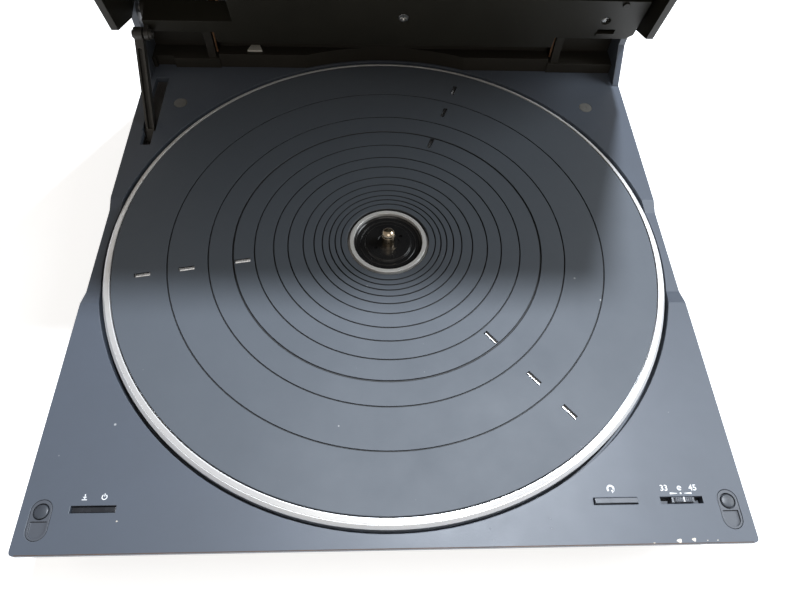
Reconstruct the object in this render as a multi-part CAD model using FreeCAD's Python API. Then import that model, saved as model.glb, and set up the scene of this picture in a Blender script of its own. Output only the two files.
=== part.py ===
"""Record player: compact direct-drive turntable with a linear-tracking arm in its hinged lid.

Units are millimetres, +Z is up and -Y is the front. The origin is on the spindle's axis, at the
top of the platter mat. Everything is written at rest: the lid stands open at LID_OPEN degrees.
Lid pieces are drawn in the closed position first and then turned open about the hinge line.
Cutting shapes run about 1 mm past the faces that they cut, and joined shapes lap by 0.5 to 1 mm.
"""
import FreeCAD, Part
import math
import os

V = FreeCAD.Vector

# ---------------------------------------------------------------- driving dimensions
# base and deck
BASE_HALF_W = 160.0        # half of the width of the deck
BASE_FRONT = -162.0        # front edge of the deck
BASE_REAR = 164.0          # rear face
DECK_TOP = -2.0            # deck surface below the mat's top
DECK_T = 3.5               # deck plate thickness
LIP_H = 3.0                # upright lip round the deck before it slopes under
SKIRT_BOTTOM = -15.0       # lower edge of the deck casting
SKIRT_INSET = 2.0          # how far the skirt draws in by its lower edge
SKIRT_T = 2.4
BASE_BOTTOM = -40.0        # underside of the tray
TRAY_WALL = 2.5
TRAY_SIDE_INSET = 3.5      # draw of the sides at the underside
TRAY_FRONT_INSET = 12.0    # draw of the front at the underside
SCREW_PLACES = ((12.0, -130.0), (8.5, 58.0), (14.0, 150.0))  # in from each side of the deck, y
SCREW_R = 1.5
SCREW_HOLE_GAP = 0.1
SCREW_HEAD_R = 3.0
SCREW_HEAD_H = 1.6
SCREW_GRIP = 6.0           # screw's length in the deck's boss
CROSS_W = 0.8              # cross slots in the screw heads
CROSS_L = 4.0
CROSS_D = 0.8
BOSS_R = 4.0
BOSS_END = -16.0           # where the deck's bosses meet the tray's posts
FOOT_H = 6.0
FOOT_R = 12.0
FOOT_X = BASE_HALF_W - 28.0
FOOT_FRONT_Y = -122.0
FOOT_REAR_Y = 138.0
FOOT_BEVEL = 1.0
FOOT_GROOVE_R = (5.0, 7.0)
FOOT_GROOVE_D = 0.8
CORNER_R = 2.0
VENT_FIRST_X = -60.0       # vents in the tray's floor
VENT_PITCH = 12.0
VENT_COUNT = 11
VENT_W = 6.0
VENT_Y = (78.0, 118.0)
RUN_FIT = 0.05             # radial clearance of every running fit
FACE_GAP = 0.3             # clearance between pieces that pass each other

# finger recess across both sides of the deck
RECESS_DEPTH = 2.75
RECESS_FRONT = -39.6
RECESS_FLOOR_FRONT = -31.0
RECESS_FLOOR_REAR = 24.5
RECESS_REAR = 32.0

# platter, mat and hub
PLATTER_R = 154.0
PLATTER_GAP = 1.8          # dark ring between rim and deck
WELL_WALL = 1.5
WELL_FLOOR_T = 2.5
PLATTER_CLEAR = 2.5        # rim's underside to the well's floor
RIM_BOTTOM = -9.0
RIM_INNER_R = PLATTER_R - 4.4  # inner edge of the bright rim
RIM_MID_R = PLATTER_R - 1.9    # line between the rim's two facets
RIM_MID_DROP = 1.2
RIM_DROP = 3.0
RIM_LINE = 0.15            # depth of the turned line between the facets
RIM_WALL = 4.0
RIM_ROOT = 3.0             # slope from the rim's wall up to the web
PLATTER_WEB_T = 3.0
HUB_BOSS_R = 12.0
HUB_BOSS_H = 5.0
MAT_R = RIM_INNER_R - 0.5
MAT_T = 3.0
MAT_HOLE_R = 22.6
GROOVE_SHARES = (0.0300, 0.0553, 0.0814, 0.1115, 0.1478, 0.1953,  # of the way from the mat's hole
                 0.2609, 0.3225, 0.4047, 0.4964, 0.6008, 0.7715)  # to its edge
BOLD_GROOVE = 9            # the one groove cut wider than the others
GROOVE_W = 0.8
BOLD_GROOVE_W = 1.2
GROOVE_D = 0.6
HUB_RING_R = 21.4
HUB_RING_IN_R = 19.25
CENTRE_DISC_R = 19.0
CENTRE_STEP_R = 12.7
CENTRE_LEDGE = -2.3
CENTRE_TOP = -1.3
CENTRE_HOLE_X = 7.0
CENTRE_HOLE_Y = 4.0
CENTRE_HOLE_R = 0.9
CENTRE_HOLE_D = 1.4
CENTRE_DISH = 0.3          # fall from the middle step to the spindle
WINDOW_SHARES = (0.4569, 0.6909, 0.8727)  # places of the sensor slots across the mat
WINDOW_ANGLES = (70.0, 190.0, 310.0)
WINDOW_L = 8.4
WINDOW_W = 2.5
MIRROR_GAP = 0.1
MIRROR_LOW = 1.0           # heights of the reflectors' sloped tops above the platter
MIRROR_HIGH = 2.2
SPINDLE_R = 3.57           # record hole is 7.24 across
SPINDLE_TOP = 9.0
TIP_OVER = 0.07            # the tip's ball is this much larger in radius than the spindle
SHAFT_R = 3.0
SHAFT_BOTTOM = -28.0

# direct-drive motor
MOTOR_HOLE_R = 64.0
STATOR_R = 71.0
STATOR_T = 1.6
COIL_COUNT = 6
COIL_PITCH_R = 39.0
COIL_R = 10.5
COIL_H = 2.6
MAGNET_OUT_R = 52.0
MAGNET_IN_R = 27.0
MAGNET_H = 4.0
COIL_BORE_R = 3.5
BEARING_R = 9.0
BEARING_END_T = 4.0
BEARING_FLANGE_R = 16.0
BEARING_FLANGE_T = 2.0
BEARING_GAP = 0.6          # sleeve's top to the platter's boss

# transformer and board in the tray
CORE_X = (-136.0, -84.0)
CORE_Y = (88.0, 132.0)
CORE_UP = 3.0              # rails under the core
CORE_H = 10.0
CORE_RAIL_W = 6.0
CORE_YOKE = 8.0
CORE_LIMB = 6.0
CORE_MID_LIMB = 8.0
COIL_GAP = 1.0
COIL_OVER = 3.0            # winding above the core
BOARD_X = (-138.0, 138.0)
BOARD_Y = (-148.5, -88.0)
BOARD_T = 1.6
BOARD_UP = 4.0             # board above the tray's floor
BOARD_POST_X = (-120.0, 0.0, 120.0)
BOARD_POST_Y = (-140.0, -96.0)
BOARD_POST_R = 3.0
CHIP_X = (-50.0, -15.0, 20.0, 55.0)
CHIP_Y = (-112.0, -104.0)
CHIP_L = 20.0
CHIP_H = 3.0
CAPACITOR_Y = -94.0
CAPACITORS = ((-48.0, 4.0, 9.0), (-34.0, 4.0, 9.0), (-20.0, 4.0, 9.0), (2.0, 2.5, 6.0),
              (10.0, 2.5, 6.0), (18.0, 2.5, 6.0), (26.0, 2.5, 6.0))  # x, radius, height
PLUG_STRIP_X = (40.0, 74.0)
PLUG_STRIP_Y = (-97.0, -91.0)
PLUG_STRIP_H = 6.0
SINK_X = (88.0, 110.0)
SINK_Y = -132.0
SINK_H = 10.0
SINK_BACK_T = 3.0
FIN_COUNT = 8
FIN_PITCH = 5.0
FIN_T = 1.5
SWITCH_TOP = -14.0
SWITCH_HALF_W = 7.0
SWITCH_FRONT = 2.0         # switch body in front of the control's slot and behind it
SWITCH_REAR = 3.0
SWITCH_WALL = 1.0
SWITCH_SHAFT_GAP = 0.6

# openings in the rear wall: centre x, half width, low z, high z
MAINS_OPENING = (-112.0, 9.3, -34.0, -23.0)
PHONO_OPENING = (70.0, 19.0, -34.0, -22.0)
EARTH_OPENING = (104.0, 4.0, -32.0, -24.0)
MAINS_D = 16.0
MAINS_MOUTH_D = 12.0
MAINS_MOUTH_R = 4.0
MAINS_MOUTH_X = 4.2
MAINS_PIN_X = 4.3
MAINS_PIN_R = 1.2
MAINS_PIN_BACK = 3.0       # pin tips in from the rear face
PHONO_R = 4.15             # standard phono sockets
PHONO_L = 9.0
PHONO_SPACING = 16.0
PHONO_BORE_R = 1.7
EARTH_STEM_R = 1.8
EARTH_STEM_L = 2.5
EARTH_HEAD_R = 3.6
EARTH_HEAD_Y = (2.0, 6.0)

# controls on the deck
POWER_X = (-139.2, -119.7)
REPEAT_X = (89.9, 110.0)
SPEED_X = (120.4, 139.8)
CONTROL_Y = (-145.0, -141.9)
BUTTON_GAP = 0.35
BUTTON_EDGE_R = 0.3
POWER_REST = -1.0          # the power button is latched down at rest
POWER_TRAVEL = 2.0         # its rise when it is let go
REPEAT_PROUD = 1.3
REPEAT_TRAVEL = 1.6
FLANGE_ROOM = 2.4          # flange to the deck's underside with the power button up
FLANGE_T = 1.6
FLANGE_OVER_X = 1.5
FLANGE_OVER_Y = 0.9
STEM_HALF_W = 5.0
STEM_INSET = 0.8
POWER_STEM_LOW = -16.0
REPEAT_STEM_LOW = -17.0
STEM_ROOM = 1.4            # under the repeat stem when it is pressed
SPEED_KNOB_W = 10.4
SPEED_SHIFT = 0.6          # knob's rest place from the middle of its slot
SPEED_TRAVEL = 3.3         # each way
SPEED_PROUD = 1.4
SPEED_EDGE = 0.5
SPEED_PLATE_OVER = 0.5
SPEED_PLATE_T = 2.2
SPEED_STEM_HALF_W = 1.5
SPEED_STEM_LOW = -16.5
INSERT_X = BASE_HALF_W - 8.9
INSERT_W = 9.2
INSERT_Y = (-156.3, -139.0)
INSERT_PAD_Y = -144.1
INSERT_PAD_R = 3.1
INSERT_STEP_Y = -148.2
INSERT_T = 2.2
INSERT_GAP = 0.2
INSERT_SINK = 0.1          # trim below the deck's surface
INSERT_BORDER = 1.1
INSERT_RECESS = 0.9
INSERT_FLOOR_T = 0.8
PAD_GAP = 0.4
PAD_PROUD = 0.4
PAD_EDGE_R = 0.35
PLUG_GAP = 0.1
PLUG_PROUD = 0.1
PLUG_X = 133.0
PLUG_Y = 112.0
PLUG_R = 4.3
PLUG_T = 1.8

# rear structure
HINGE_Y = 156.0
HINGE_Z = 35.0
BLOCK_HALF_W = 111.0
BLOCK_FRONT = 148.0
BLOCK_STEP_Z = 8.0
BLOCK_UPPER_FRONT = 157.0
BLOCK_TOP = 20.5
LEDGE_TOP = 5.0
LEDGE_FRONT = 147.0
BLOCK_WALL = 2.5
CHEEK_T = 4.2
CHEEK_FRONT = 133.5
CHEEK_BEND_Z = 20.0
CHEEK_R = 8.0
EAR_X = (113.0, 118.0)
EAR_R = 7.5
PIN_R = 2.5
PIN_X = (106.0, BASE_HALF_W - 2.0)
SPRING_X = (106.6, 112.6)
SPRING_R = 5.4
SPRING_WIRE_R = 0.75
SPRING_LAP = 0.1           # neighbouring turns lap by this much
NOTCH_REAR = 149.6         # notch in the left ledge, where the stay's end passes
NOTCH_WALL = 2.0
SENSOR_X = (-92.2, -82.4)
SENSOR_Y = (151.0, 156.6)
SENSOR_TAPER = 2.0

# lid
LID_OPEN = 75.0
LID_HALF_W = BASE_HALF_W - FACE_GAP
LID_WALL = 4.2
LID_FRONT = -160.0
LID_REAR = 162.0
LID_TOP = 46.5
LID_TOP_T = 2.5
RIM_Z = -1.2
LID_GAP = 0.8              # lid's edge to the cheek
REAR_WALL_HALF_W = 95.0
REAR_WALL_T = 3.0
REAR_WALL_BOTTOM = 23.0
LUG_X = (EAR_X[1] + 3.0, BASE_HALF_W - 7.0)
LUG_R = 8.0
LID_EDGE_R = 3.0
POST_R = 2.4
RIB_T = 2.0                # ribs that stiffen the inside of the lid
RIB_Y = (-120.0, -60.0, 0.0, 60.0)
RIB_H = 5.0
RIB_X = (-BASE_HALF_W + 20.0, BASE_HALF_W - 32.0)

# arm housing inside the lid, in the closed position
HOUSING_X = (-92.0, LID_HALF_W - LID_WALL - 2.5)
HOUSING_FRONT = 115.0
HOUSING_REAR = 155.0
HOUSING_SIDE_REAR = 146.0  # rear edge where the hinge lugs need room
HOUSING_SIDE_X = 105.0
HOUSING_BOTTOM = 9.5
HOUSING_T = 2.0
HOUSING_CORNER_R = 9.0
SHELF_X = -BASE_HALF_W + 15.0  # left end of the low part of the housing
SHELF_FRONT = 137.0
SHELF_H = 15.0
ARM_SLOT_Z = (15.0, 33.0)
SCREW_X = 9.8              # cross-headed screw in the housing's floor
SCREW_Y = 131.5
HOUSING_SCREW_R = 2.9
HOUSING_SCREW_GAP = 0.3
HOUSING_SCREW_D = 1.2
HOUSING_CROSS_L = 3.6
HOUSING_CROSS_D = 0.6
LENS_X = HOUSING_X[1] - 21.3
LENS_Y = 131.0
LENS_R = 2.9
LENS_BODY_R = 4.4
LENS_BODY_H = 3.0
LENS_EYE = (-0.9, 0.4)     # the eye's middle from the hole's middle
LENS_EYE_R = 1.2
SLOT_X = (HOUSING_X[1] - 24.0, HOUSING_X[1] - 13.0)
SLOT_Y = (138.0, 141.2)
SLOT_LEDGE_W = 2.0
SLOT_LEDGE_H = 0.6
PEG_X = HOUSING_X[1] - 14.1
PEG_Y = 117.6
PEG_R = 2.0
PEG_H = 1.2

# tracking drive and arm, in the closed position
ROD_R = 2.5
ROD_Y = (122.5, 138.0)
ROD_Z = 38.5
ROD_SEAT = 1.2             # how far the rods' right ends sink into the housing's wall
ARM_X = HOUSING_X[1] - 8.6
CARRIAGE_X = (ARM_X - 22.4, ARM_X + 6.0)
CARRIAGE_Y = (118.0, 142.0)
CARRIAGE_Z = (34.0, 42.8)
CARRIAGE_TRAVEL = 88.0
ARM_SLOT_X = (ARM_X - CARRIAGE_TRAVEL - 6.4, ARM_X + 5.1)
RIB_INNER_X = CARRIAGE_X[0] - CARRIAGE_TRAVEL - 10.0  # inner wall that carries the rods' left ends
RIB_INNER_T = 3.0
HANGER_X = (2.0, 12.0)     # belt clamp under the carriage, from the carriage's left end
HANGER_T = 1.8
HANGER_GAP = 1.6
HANGER_LOW = 24.0
PIVOT_Y = 122.0
PIVOT_Z = 24.0
PIVOT_R = 1.0
ARM_TUBE_R = 2.6
ARM_TUBE_T = 0.6
ARM_END_Y = 18.0
ARM_REAR = 4.0             # arm behind its pivot
ARM_SOLID = 6.0            # solid end of the tube in front of its pivot
FORK_T = 2.2
FORK_GAP = 3.6             # arm's centre line to the fork's inner faces
FORK_HALF_D = 3.0
FORK_DROP = 2.5            # fork below the pivot
PULLEY_R = 4.0
PULLEY_FLANGE = 1.0
PULLEY_BORE_R = 1.0
PULLEY_Y = 137.6
PULLEY_Z = (25.0, 29.0)
PULLEY_GROOVE_H = 2.6
MOTOR_PULLEY_X = RIB_INNER_X - 12.0
MOTOR_R = 9.0
MOTOR_COLLAR_R = 3.0
MOTOR_DROP = 1.6           # can's top below the pulley
COLLAR_DROP = 0.8
SHAFT_OVER = 1.0           # pulley shafts above the pulleys
IDLER_X = ARM_X - 7.4
IDLER_POST_R = 2.0
IDLER_POST_DROP = 0.4
BELT_T = 0.6
BELT_H = 1.8
BELT_GAP = 0.25
WEIGHT_R = 3.4
WEIGHT_L = 5.4
HEADSHELL_HALF_W = 6.5
HEADSHELL_NECK = 3.4
HEADSHELL_Y = (-6.0, 12.0) # front end, and where the sides begin to draw in
HEADSHELL_GRIP = 6.0       # how far the shell runs over the arm
HEADSHELL_Z = (-3.2, 3.4)  # below and above the arm's middle
HEADSHELL_EDGE_R = 1.0
CARTRIDGE_HALF_W = 5.0
CARTRIDGE_Y = (-4.5, 14.0)
CARTRIDGE_STEP_Y = 3.0
CARTRIDGE_H = (6.0, 8.5)   # rear and front heights
HOLDER_HALF_W = 3.0
HOLDER_OUTLINE = ((-5.2, 0.0), (3.0, 0.0), (1.0, -2.0), (-3.0, -2.6))  # y, z from the cartridge's foot
CANTILEVER_R = 0.4
CANTILEVER_L = 5.0
CANTILEVER_FROM = (2.2, -1.0)
CANTILEVER_RUN = (-0.72, -0.69)
TIP_Y = -0.9
TIP_UP = 3.6               # tip cone's base below the cartridge's foot
TIP_CONE_R = (0.45, 0.1)
STYLUS_TIP_Z = 8.0

# lid stay, and the pivot that holds it to the lid
STAY_X = (-BASE_HALF_W + 9.0, -BASE_HALF_W + 14.0)
STAY_L = 62.0
STAY_DEPTH = 5.0
STAY_ANGLE = 52.7          # below the horizontal with the lid open
STAY_PIVOT_Y = 124.5
STAY_PIVOT_Z = 39.0
STAY_BOSS_R = 4.0
STAY_PIN_R = 1.5
STAY_TURN = 0.5            # degrees the stay lies down for each degree that the lid closes
STAY_WALL = 1.1            # sides of its channel
STAY_WEB = 1.4
STAY_CHANNEL = (7.0, 8.0)  # solid ends of the channel, lower and upper
STAY_PIN_HALF_L = 4.0      # cross pin at the lower end
STAY_SLOT_GAP = 1.6
STAY_SLOT_X = (STAY_X[0] - STAY_SLOT_GAP, STAY_X[1] + STAY_SLOT_GAP)
STAY_SLOT_REAR = 136.0
STAY_SLOT_STEP_L = 12.0    # narrow front part of the slot
STAY_SLOT_STEP = 1.0
STAY_END_ROOM = 0.4        # in front of the lower end at its foremost
STAY_FLOOR_ROOM = 6.4      # under the lower end at its lowest
GUIDE_T = 1.2
GUIDE_OVER = 2.0
GUIDE_SCREW_R = 1.6
GUIDE_SCREW_L = 1.3
GUIDE_SCREW_DROP = 3.4
BRACKET_T = 2.6
BRACKET_R = 3.6
BRACKET_WASHER_R = 2.8
BRACKET_WASHER_T = 1.6
BRACKET_CAP_R = 2.4
BRACKET_CAP_T = 1.1

# buttons in the lid's top, in the closed position: name, centre x, width
LID_BUTTONS = (("start_button", -104.0, 26.0), ("cue_button", -66.0, 26.0),
               ("arm_left_button", 72.0, 16.0), ("arm_right_button", 94.0, 16.0))
LID_BUTTON_Y = (-150.0, -141.0)
LID_BUTTON_PROUD = 0.8
LID_BUTTON_TRAVEL = 1.4
LID_BUTTON_EDGE_R = 0.5
LID_FLANGE_OVER = 1.0
LID_FLANGE_T = 1.2
LID_STEM_L = 4.6
LID_STEM_R = 2.0
LID_BOARD_X = (LID_BUTTONS[0][1] - 20.0, LID_BUTTONS[-1][1] + 16.0)
LID_BOARD_OVER_Y = 3.0
LID_BOARD_T = 1.6
LID_SWITCH_HALF_W = 3.0
LID_SWITCH_INSET = 4.5
LID_SWITCH_H = 1.4
LID_POST_R = 2.0

# ---------------------------------------------------------------- worked-out sizes
WELL_R = PLATTER_R + PLATTER_GAP
WELL_OUT_R = WELL_R + WELL_WALL
WELL_FLOOR = RIM_BOTTOM - PLATTER_CLEAR
WELL_BOTTOM = WELL_FLOOR - WELL_FLOOR_T
DECK_UNDER = DECK_TOP - DECK_T
TRAY_TOP = SKIRT_BOTTOM
TRAY_FLOOR = BASE_BOTTOM + TRAY_WALL
BOARD_TOP = TRAY_FLOOR + BOARD_UP + BOARD_T
PLATTER_TOP = -MAT_T
PLATTER_UNDER = PLATTER_TOP - PLATTER_WEB_T
STATOR_TOP = WELL_BOTTOM
STATOR_UNDER = STATOR_TOP - STATOR_T
HINGE = V(0, HINGE_Y, HINGE_Z)
LID_INNER_TOP = LID_TOP - LID_TOP_T
LID_INNER_X = LID_HALF_W - LID_WALL
MAT_W = MAT_R - MAT_HOLE_R
TIP_R = SPINDLE_R + TIP_OVER
TIP_MID_Z = SPINDLE_TOP - TIP_R
SPINDLE_SHOULDER = CENTRE_TOP - CENTRE_DISH
FLANGE_TOP = DECK_UNDER - POWER_TRAVEL - FLANGE_ROOM
SWITCH_FLOOR = REPEAT_STEM_LOW - REPEAT_TRAVEL - STEM_ROOM
NOTCH_X = (STAY_SLOT_X[0] - 0.6, SHELF_X + 4.0)
ROD_END_X = HOUSING_X[1] - HOUSING_T + ROD_SEAT
CARTRIDGE_TOP = PIVOT_Z + HEADSHELL_Z[0]
CARTRIDGE_FOOT = CARTRIDGE_TOP - CARTRIDGE_H[1]


# ---------------------------------------------------------------- small helpers
def box(x, y, z):
    """Box between the pairs x, y and z."""
    low = V(min(x), min(y), min(z))
    return Part.makeBox(abs(x[1] - x[0]), abs(y[1] - y[0]), abs(z[1] - z[0]), low)


def cyl(cx, cy, z, r):
    """Upright cylinder between the heights z."""
    return Part.makeCylinder(r, abs(z[1] - z[0]), V(cx, cy, min(z)), V(0, 0, 1))


def cyl_x(x, cy, cz, r):
    """Cylinder along X between the pair x."""
    return Part.makeCylinder(r, abs(x[1] - x[0]), V(min(x), cy, cz), V(1, 0, 0))


def cyl_y(y, cx, cz, r):
    """Cylinder along Y between the pair y."""
    return Part.makeCylinder(r, abs(y[1] - y[0]), V(cx, min(y), cz), V(0, 1, 0))


def face_of(points):
    """Flat face bounded by straight lines through the points."""
    return Part.Face(Part.makePolygon([V(*p) for p in points] + [V(*points[0])]))


def prism_yz(outline, x):
    """Outline of (y, z) points carried along X between the pair x."""
    return face_of([(min(x), y, z) for y, z in outline]).extrude(V(abs(x[1] - x[0]), 0, 0))


def prism_xy(outline, z):
    """Outline of (x, y) points carried up between the heights z."""
    return face_of([(px, py, min(z)) for px, py in outline]).extrude(V(0, 0, abs(z[1] - z[0])))


def turned(outline):
    """Solid turned about Z from an outline of (r, z) points."""
    return face_of([(r, 0, z) for r, z in outline]).revolve(V(0, 0, 0), V(0, 0, 1), 360)


def ring(z, r_in, r_out, cx=0.0, cy=0.0):
    """Upright ring."""
    return cyl(cx, cy, z, r_out).cut(cyl(cx, cy, (min(z) - 1, max(z) + 1), r_in))


def stadium(cx, y, width, z):
    """Slot shape along Y with round ends."""
    r = width / 2.0
    middle = box((cx - r, cx + r), (y[0] + r, y[1] - r), z)
    return middle.fuse([cyl(cx, y[0] + r, z, r), cyl(cx, y[1] - r, z, r)]).removeSplitter()


def joined(pieces):
    """One solid from pieces that touch or overlap."""
    return pieces[0].fuse(list(pieces[1:])).removeSplitter()


def group(pieces):
    """Separate solids kept together in one node."""
    return Part.makeCompound(list(pieces))


def opened(shape):
    """A lid piece turned from the closed position to the open one."""
    moved = shape.copy()
    moved.rotate(HINGE, V(1, 0, 0), -LID_OPEN)
    return moved


def lid_turned(y, z, degrees):
    """Where a point of the open lid lies once the lid has closed by some degrees."""
    turn = math.radians(degrees)
    dy = y - HINGE_Y
    dz = z - HINGE_Z
    return (HINGE_Y + dy * math.cos(turn) - dz * math.sin(turn),
            HINGE_Z + dy * math.sin(turn) + dz * math.cos(turn))


def stay_end(degrees):
    """Middle of the stay's lower end, (y, z), when the lid has closed by some degrees."""
    y, z = lid_turned(STAY_PIVOT_Y, STAY_PIVOT_Z, degrees)
    lean = math.radians(STAY_ANGLE - STAY_TURN * degrees)
    return y - STAY_L * math.cos(lean), z - STAY_L * math.sin(lean)


def stay_travel():
    """The foremost y and the lowest z that the stay's lower end comes to as the lid closes."""
    ends = [stay_end(LID_OPEN * i / 30.0) for i in range(31)]
    return min(y for y, z in ends), min(z for y, z in ends)


def stay_slot_y():
    """Front and rear ends of the stay's slot in the deck."""
    return (stay_travel()[0] - STAY_DEPTH / 2.0 - STAY_END_ROOM, STAY_SLOT_REAR)


def cross_slot(cx, cy, length, z):
    """Cross-shaped cut in a screw's head."""
    long = length / 2.0
    wide = CROSS_W / 2.0
    return [box((cx - long, cx + long), (cy - wide, cy + wide), z),
            box((cx - wide, cx + wide), (cy - long, cy + long), z)]


def save(name, shape):
    """Write one node."""
    shape.exportStep("parts/" + name + ".step")


# ---------------------------------------------------------------- base
def deck_profile(drop):
    """Side view of the deck's surface from front to rear, lowered by drop."""
    top = DECK_TOP - drop
    low = top - RECESS_DEPTH
    return [(BASE_FRONT - 1, top), (RECESS_FRONT, top), (RECESS_FLOOR_FRONT, low),
            (RECESS_FLOOR_REAR, low), (RECESS_REAR, top), (BASE_REAR + 1, top)]


def drawn_block(z_top, inset_top, z_low, side, front, extra=0.0):
    """Block with sloping front and sides and an upright rear, between two heights."""
    wires = []
    for z, dx, dy in ((z_top, inset_top, inset_top), (z_low, side, front)):
        half = BASE_HALF_W - dx - extra
        y0 = BASE_FRONT + dy + extra
        y1 = BASE_REAR - extra
        wires.append(Part.makePolygon([V(-half, y0, z), V(half, y0, z), V(half, y1, z),
                                       V(-half, y1, z), V(-half, y0, z)]))
    return Part.makeLoft(wires, True, True)


def button_slot(x):
    """Opening through the deck for a front control."""
    return box(x, CONTROL_Y, (DECK_UNDER - 1, DECK_TOP + 1))


def deck():
    """Cast top plate with its skirt, platter well, finger recess, slots and pockets."""
    lip_low = DECK_TOP - LIP_H
    lip = box((-BASE_HALF_W, BASE_HALF_W), (BASE_FRONT, BASE_REAR), (lip_low, DECK_TOP))
    lip = lip.makeFillet(CORNER_R, [e for e in lip.Edges if abs(e.Vertexes[0].Z - e.Vertexes[1].Z) > 1])
    body = lip.fuse(drawn_block(lip_low, 0.4, SKIRT_BOTTOM, SKIRT_INSET, SKIRT_INSET))
    hollow = prism_yz([(BASE_FRONT - 1, SKIRT_BOTTOM - 1)] + deck_profile(DECK_T)
                      + [(BASE_REAR + 1, SKIRT_BOTTOM - 1)], (-BASE_HALF_W, BASE_HALF_W))
    room = drawn_block(DECK_TOP, 0.0, SKIRT_BOTTOM - 1, SKIRT_INSET, SKIRT_INSET, SKIRT_T)
    body = body.cut(hollow.common(room))
    bosses = [cyl(x, y, (BOSS_END, DECK_UNDER + 0.5), BOSS_R) for x, y in case_screw_places()]
    body = body.fuse([cyl(0, 0, (WELL_BOTTOM, DECK_UNDER + 0.5), WELL_OUT_R)] + bosses)
    body = body.cut([cyl(x, y, (BOSS_END - 1, BOSS_END + SCREW_GRIP + 1), SCREW_R)
                     for x, y in case_screw_places()])
    above = prism_yz(deck_profile(0.0) + [(BASE_REAR + 1, 5), (BASE_FRONT - 1, 5)],
                     (-BASE_HALF_W - 1, BASE_HALF_W + 1))
    body = body.cut(above)
    body = body.cut([cyl(0, 0, (WELL_FLOOR, 1), WELL_R), cyl(0, 0, (WELL_BOTTOM - 1, 1), MOTOR_HOLE_R)])
    slot_front, slot_rear = stay_slot_y()
    step_y = slot_front + STAY_SLOT_STEP_L
    through = (DECK_UNDER - 1, DECK_TOP + 1)
    cuts = [button_slot(x) for x in (POWER_X, REPEAT_X, SPEED_X)]
    cuts.append(box(STAY_SLOT_X, (step_y, slot_rear), through))
    cuts.append(box((STAY_SLOT_X[0] + STAY_SLOT_STEP, STAY_SLOT_X[1] - STAY_SLOT_STEP),
                    (slot_front, step_y + 1), through))
    for side in (-1, 1):
        cuts.append(stadium(side * INSERT_X, INSERT_Y, INSERT_W, (DECK_TOP - INSERT_T, DECK_TOP + 1)))
        cuts.append(cyl(side * PLUG_X, PLUG_Y, (DECK_TOP - PLUG_T, DECK_TOP + 1), PLUG_R))
    return body.cut(cuts).removeSplitter()


def bottom_tray():
    """Moulded lower case with screw posts, vents and openings for the rear sockets."""
    outer = drawn_block(TRAY_TOP, SKIRT_INSET, BASE_BOTTOM, TRAY_SIDE_INSET, TRAY_FRONT_INSET)
    inner = drawn_block(TRAY_TOP, SKIRT_INSET, BASE_BOTTOM, TRAY_SIDE_INSET, TRAY_FRONT_INSET, TRAY_WALL)
    above_floor = box((-2 * BASE_HALF_W, 2 * BASE_HALF_W), (2 * BASE_FRONT, 2 * BASE_REAR),
                      (TRAY_FLOOR, TRAY_TOP + 1))
    body = outer.cut(inner.common(above_floor))
    for x, y in case_screw_places():
        post = cyl(x, y, (TRAY_FLOOR - 0.5, BOSS_END), BOSS_R)
        body = body.fuse(post).cut(cyl(x, y, (BASE_BOTTOM - 1, BOSS_END + 1), SCREW_R + SCREW_HOLE_GAP))
    lefts = [VENT_FIRST_X + VENT_PITCH * i for i in range(VENT_COUNT)]
    cuts = [box((x, x + VENT_W), VENT_Y, (BASE_BOTTOM - 1, TRAY_FLOOR + 1)) for x in lefts]
    cuts += [rear_opening(*opening) for opening in (MAINS_OPENING, PHONO_OPENING, EARTH_OPENING)]
    return body.cut(cuts).removeSplitter()


def case_screw_places():
    """Where the screws hold the tray to the deck."""
    return [(side * (BASE_HALF_W - inset), y) for side in (-1, 1) for inset, y in SCREW_PLACES]


def case_screws():
    """Round-headed screws, standing in the tray's posts."""
    screws = []
    low = BASE_BOTTOM - SCREW_HEAD_H
    for x, y in case_screw_places():
        head = cyl(x, y, (low, BASE_BOTTOM), SCREW_HEAD_R)
        head = head.cut(cross_slot(x, y, CROSS_L, (low - 1, low + CROSS_D)))
        screws.append(joined([head, cyl(x, y, (BASE_BOTTOM, BOSS_END + SCREW_GRIP), SCREW_R)]))
    return group(screws)


def feet():
    """Four rubber feet with a shallow ring underneath."""
    made = []
    low = BASE_BOTTOM - FOOT_H
    for x in (-FOOT_X, FOOT_X):
        for y in (FOOT_FRONT_Y, FOOT_REAR_Y):
            foot = cyl(x, y, (low, BASE_BOTTOM), FOOT_R)
            lower_edge = [e for e in foot.Edges if e.Closed and e.BoundBox.ZMax < BASE_BOTTOM - 1]
            foot = foot.makeChamfer(FOOT_BEVEL, lower_edge)
            made.append(foot.cut(ring((low - 1, low + FOOT_GROOVE_D), *FOOT_GROOVE_R, x, y)))
    return group(made)


def deck_plugs():
    """Light plugs that close two screw holes in the deck."""
    z = (DECK_TOP - PLUG_T, DECK_TOP + PLUG_PROUD)
    return group([cyl(side * PLUG_X, PLUG_Y, z, PLUG_R - PLUG_GAP) for side in (-1, 1)])


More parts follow.
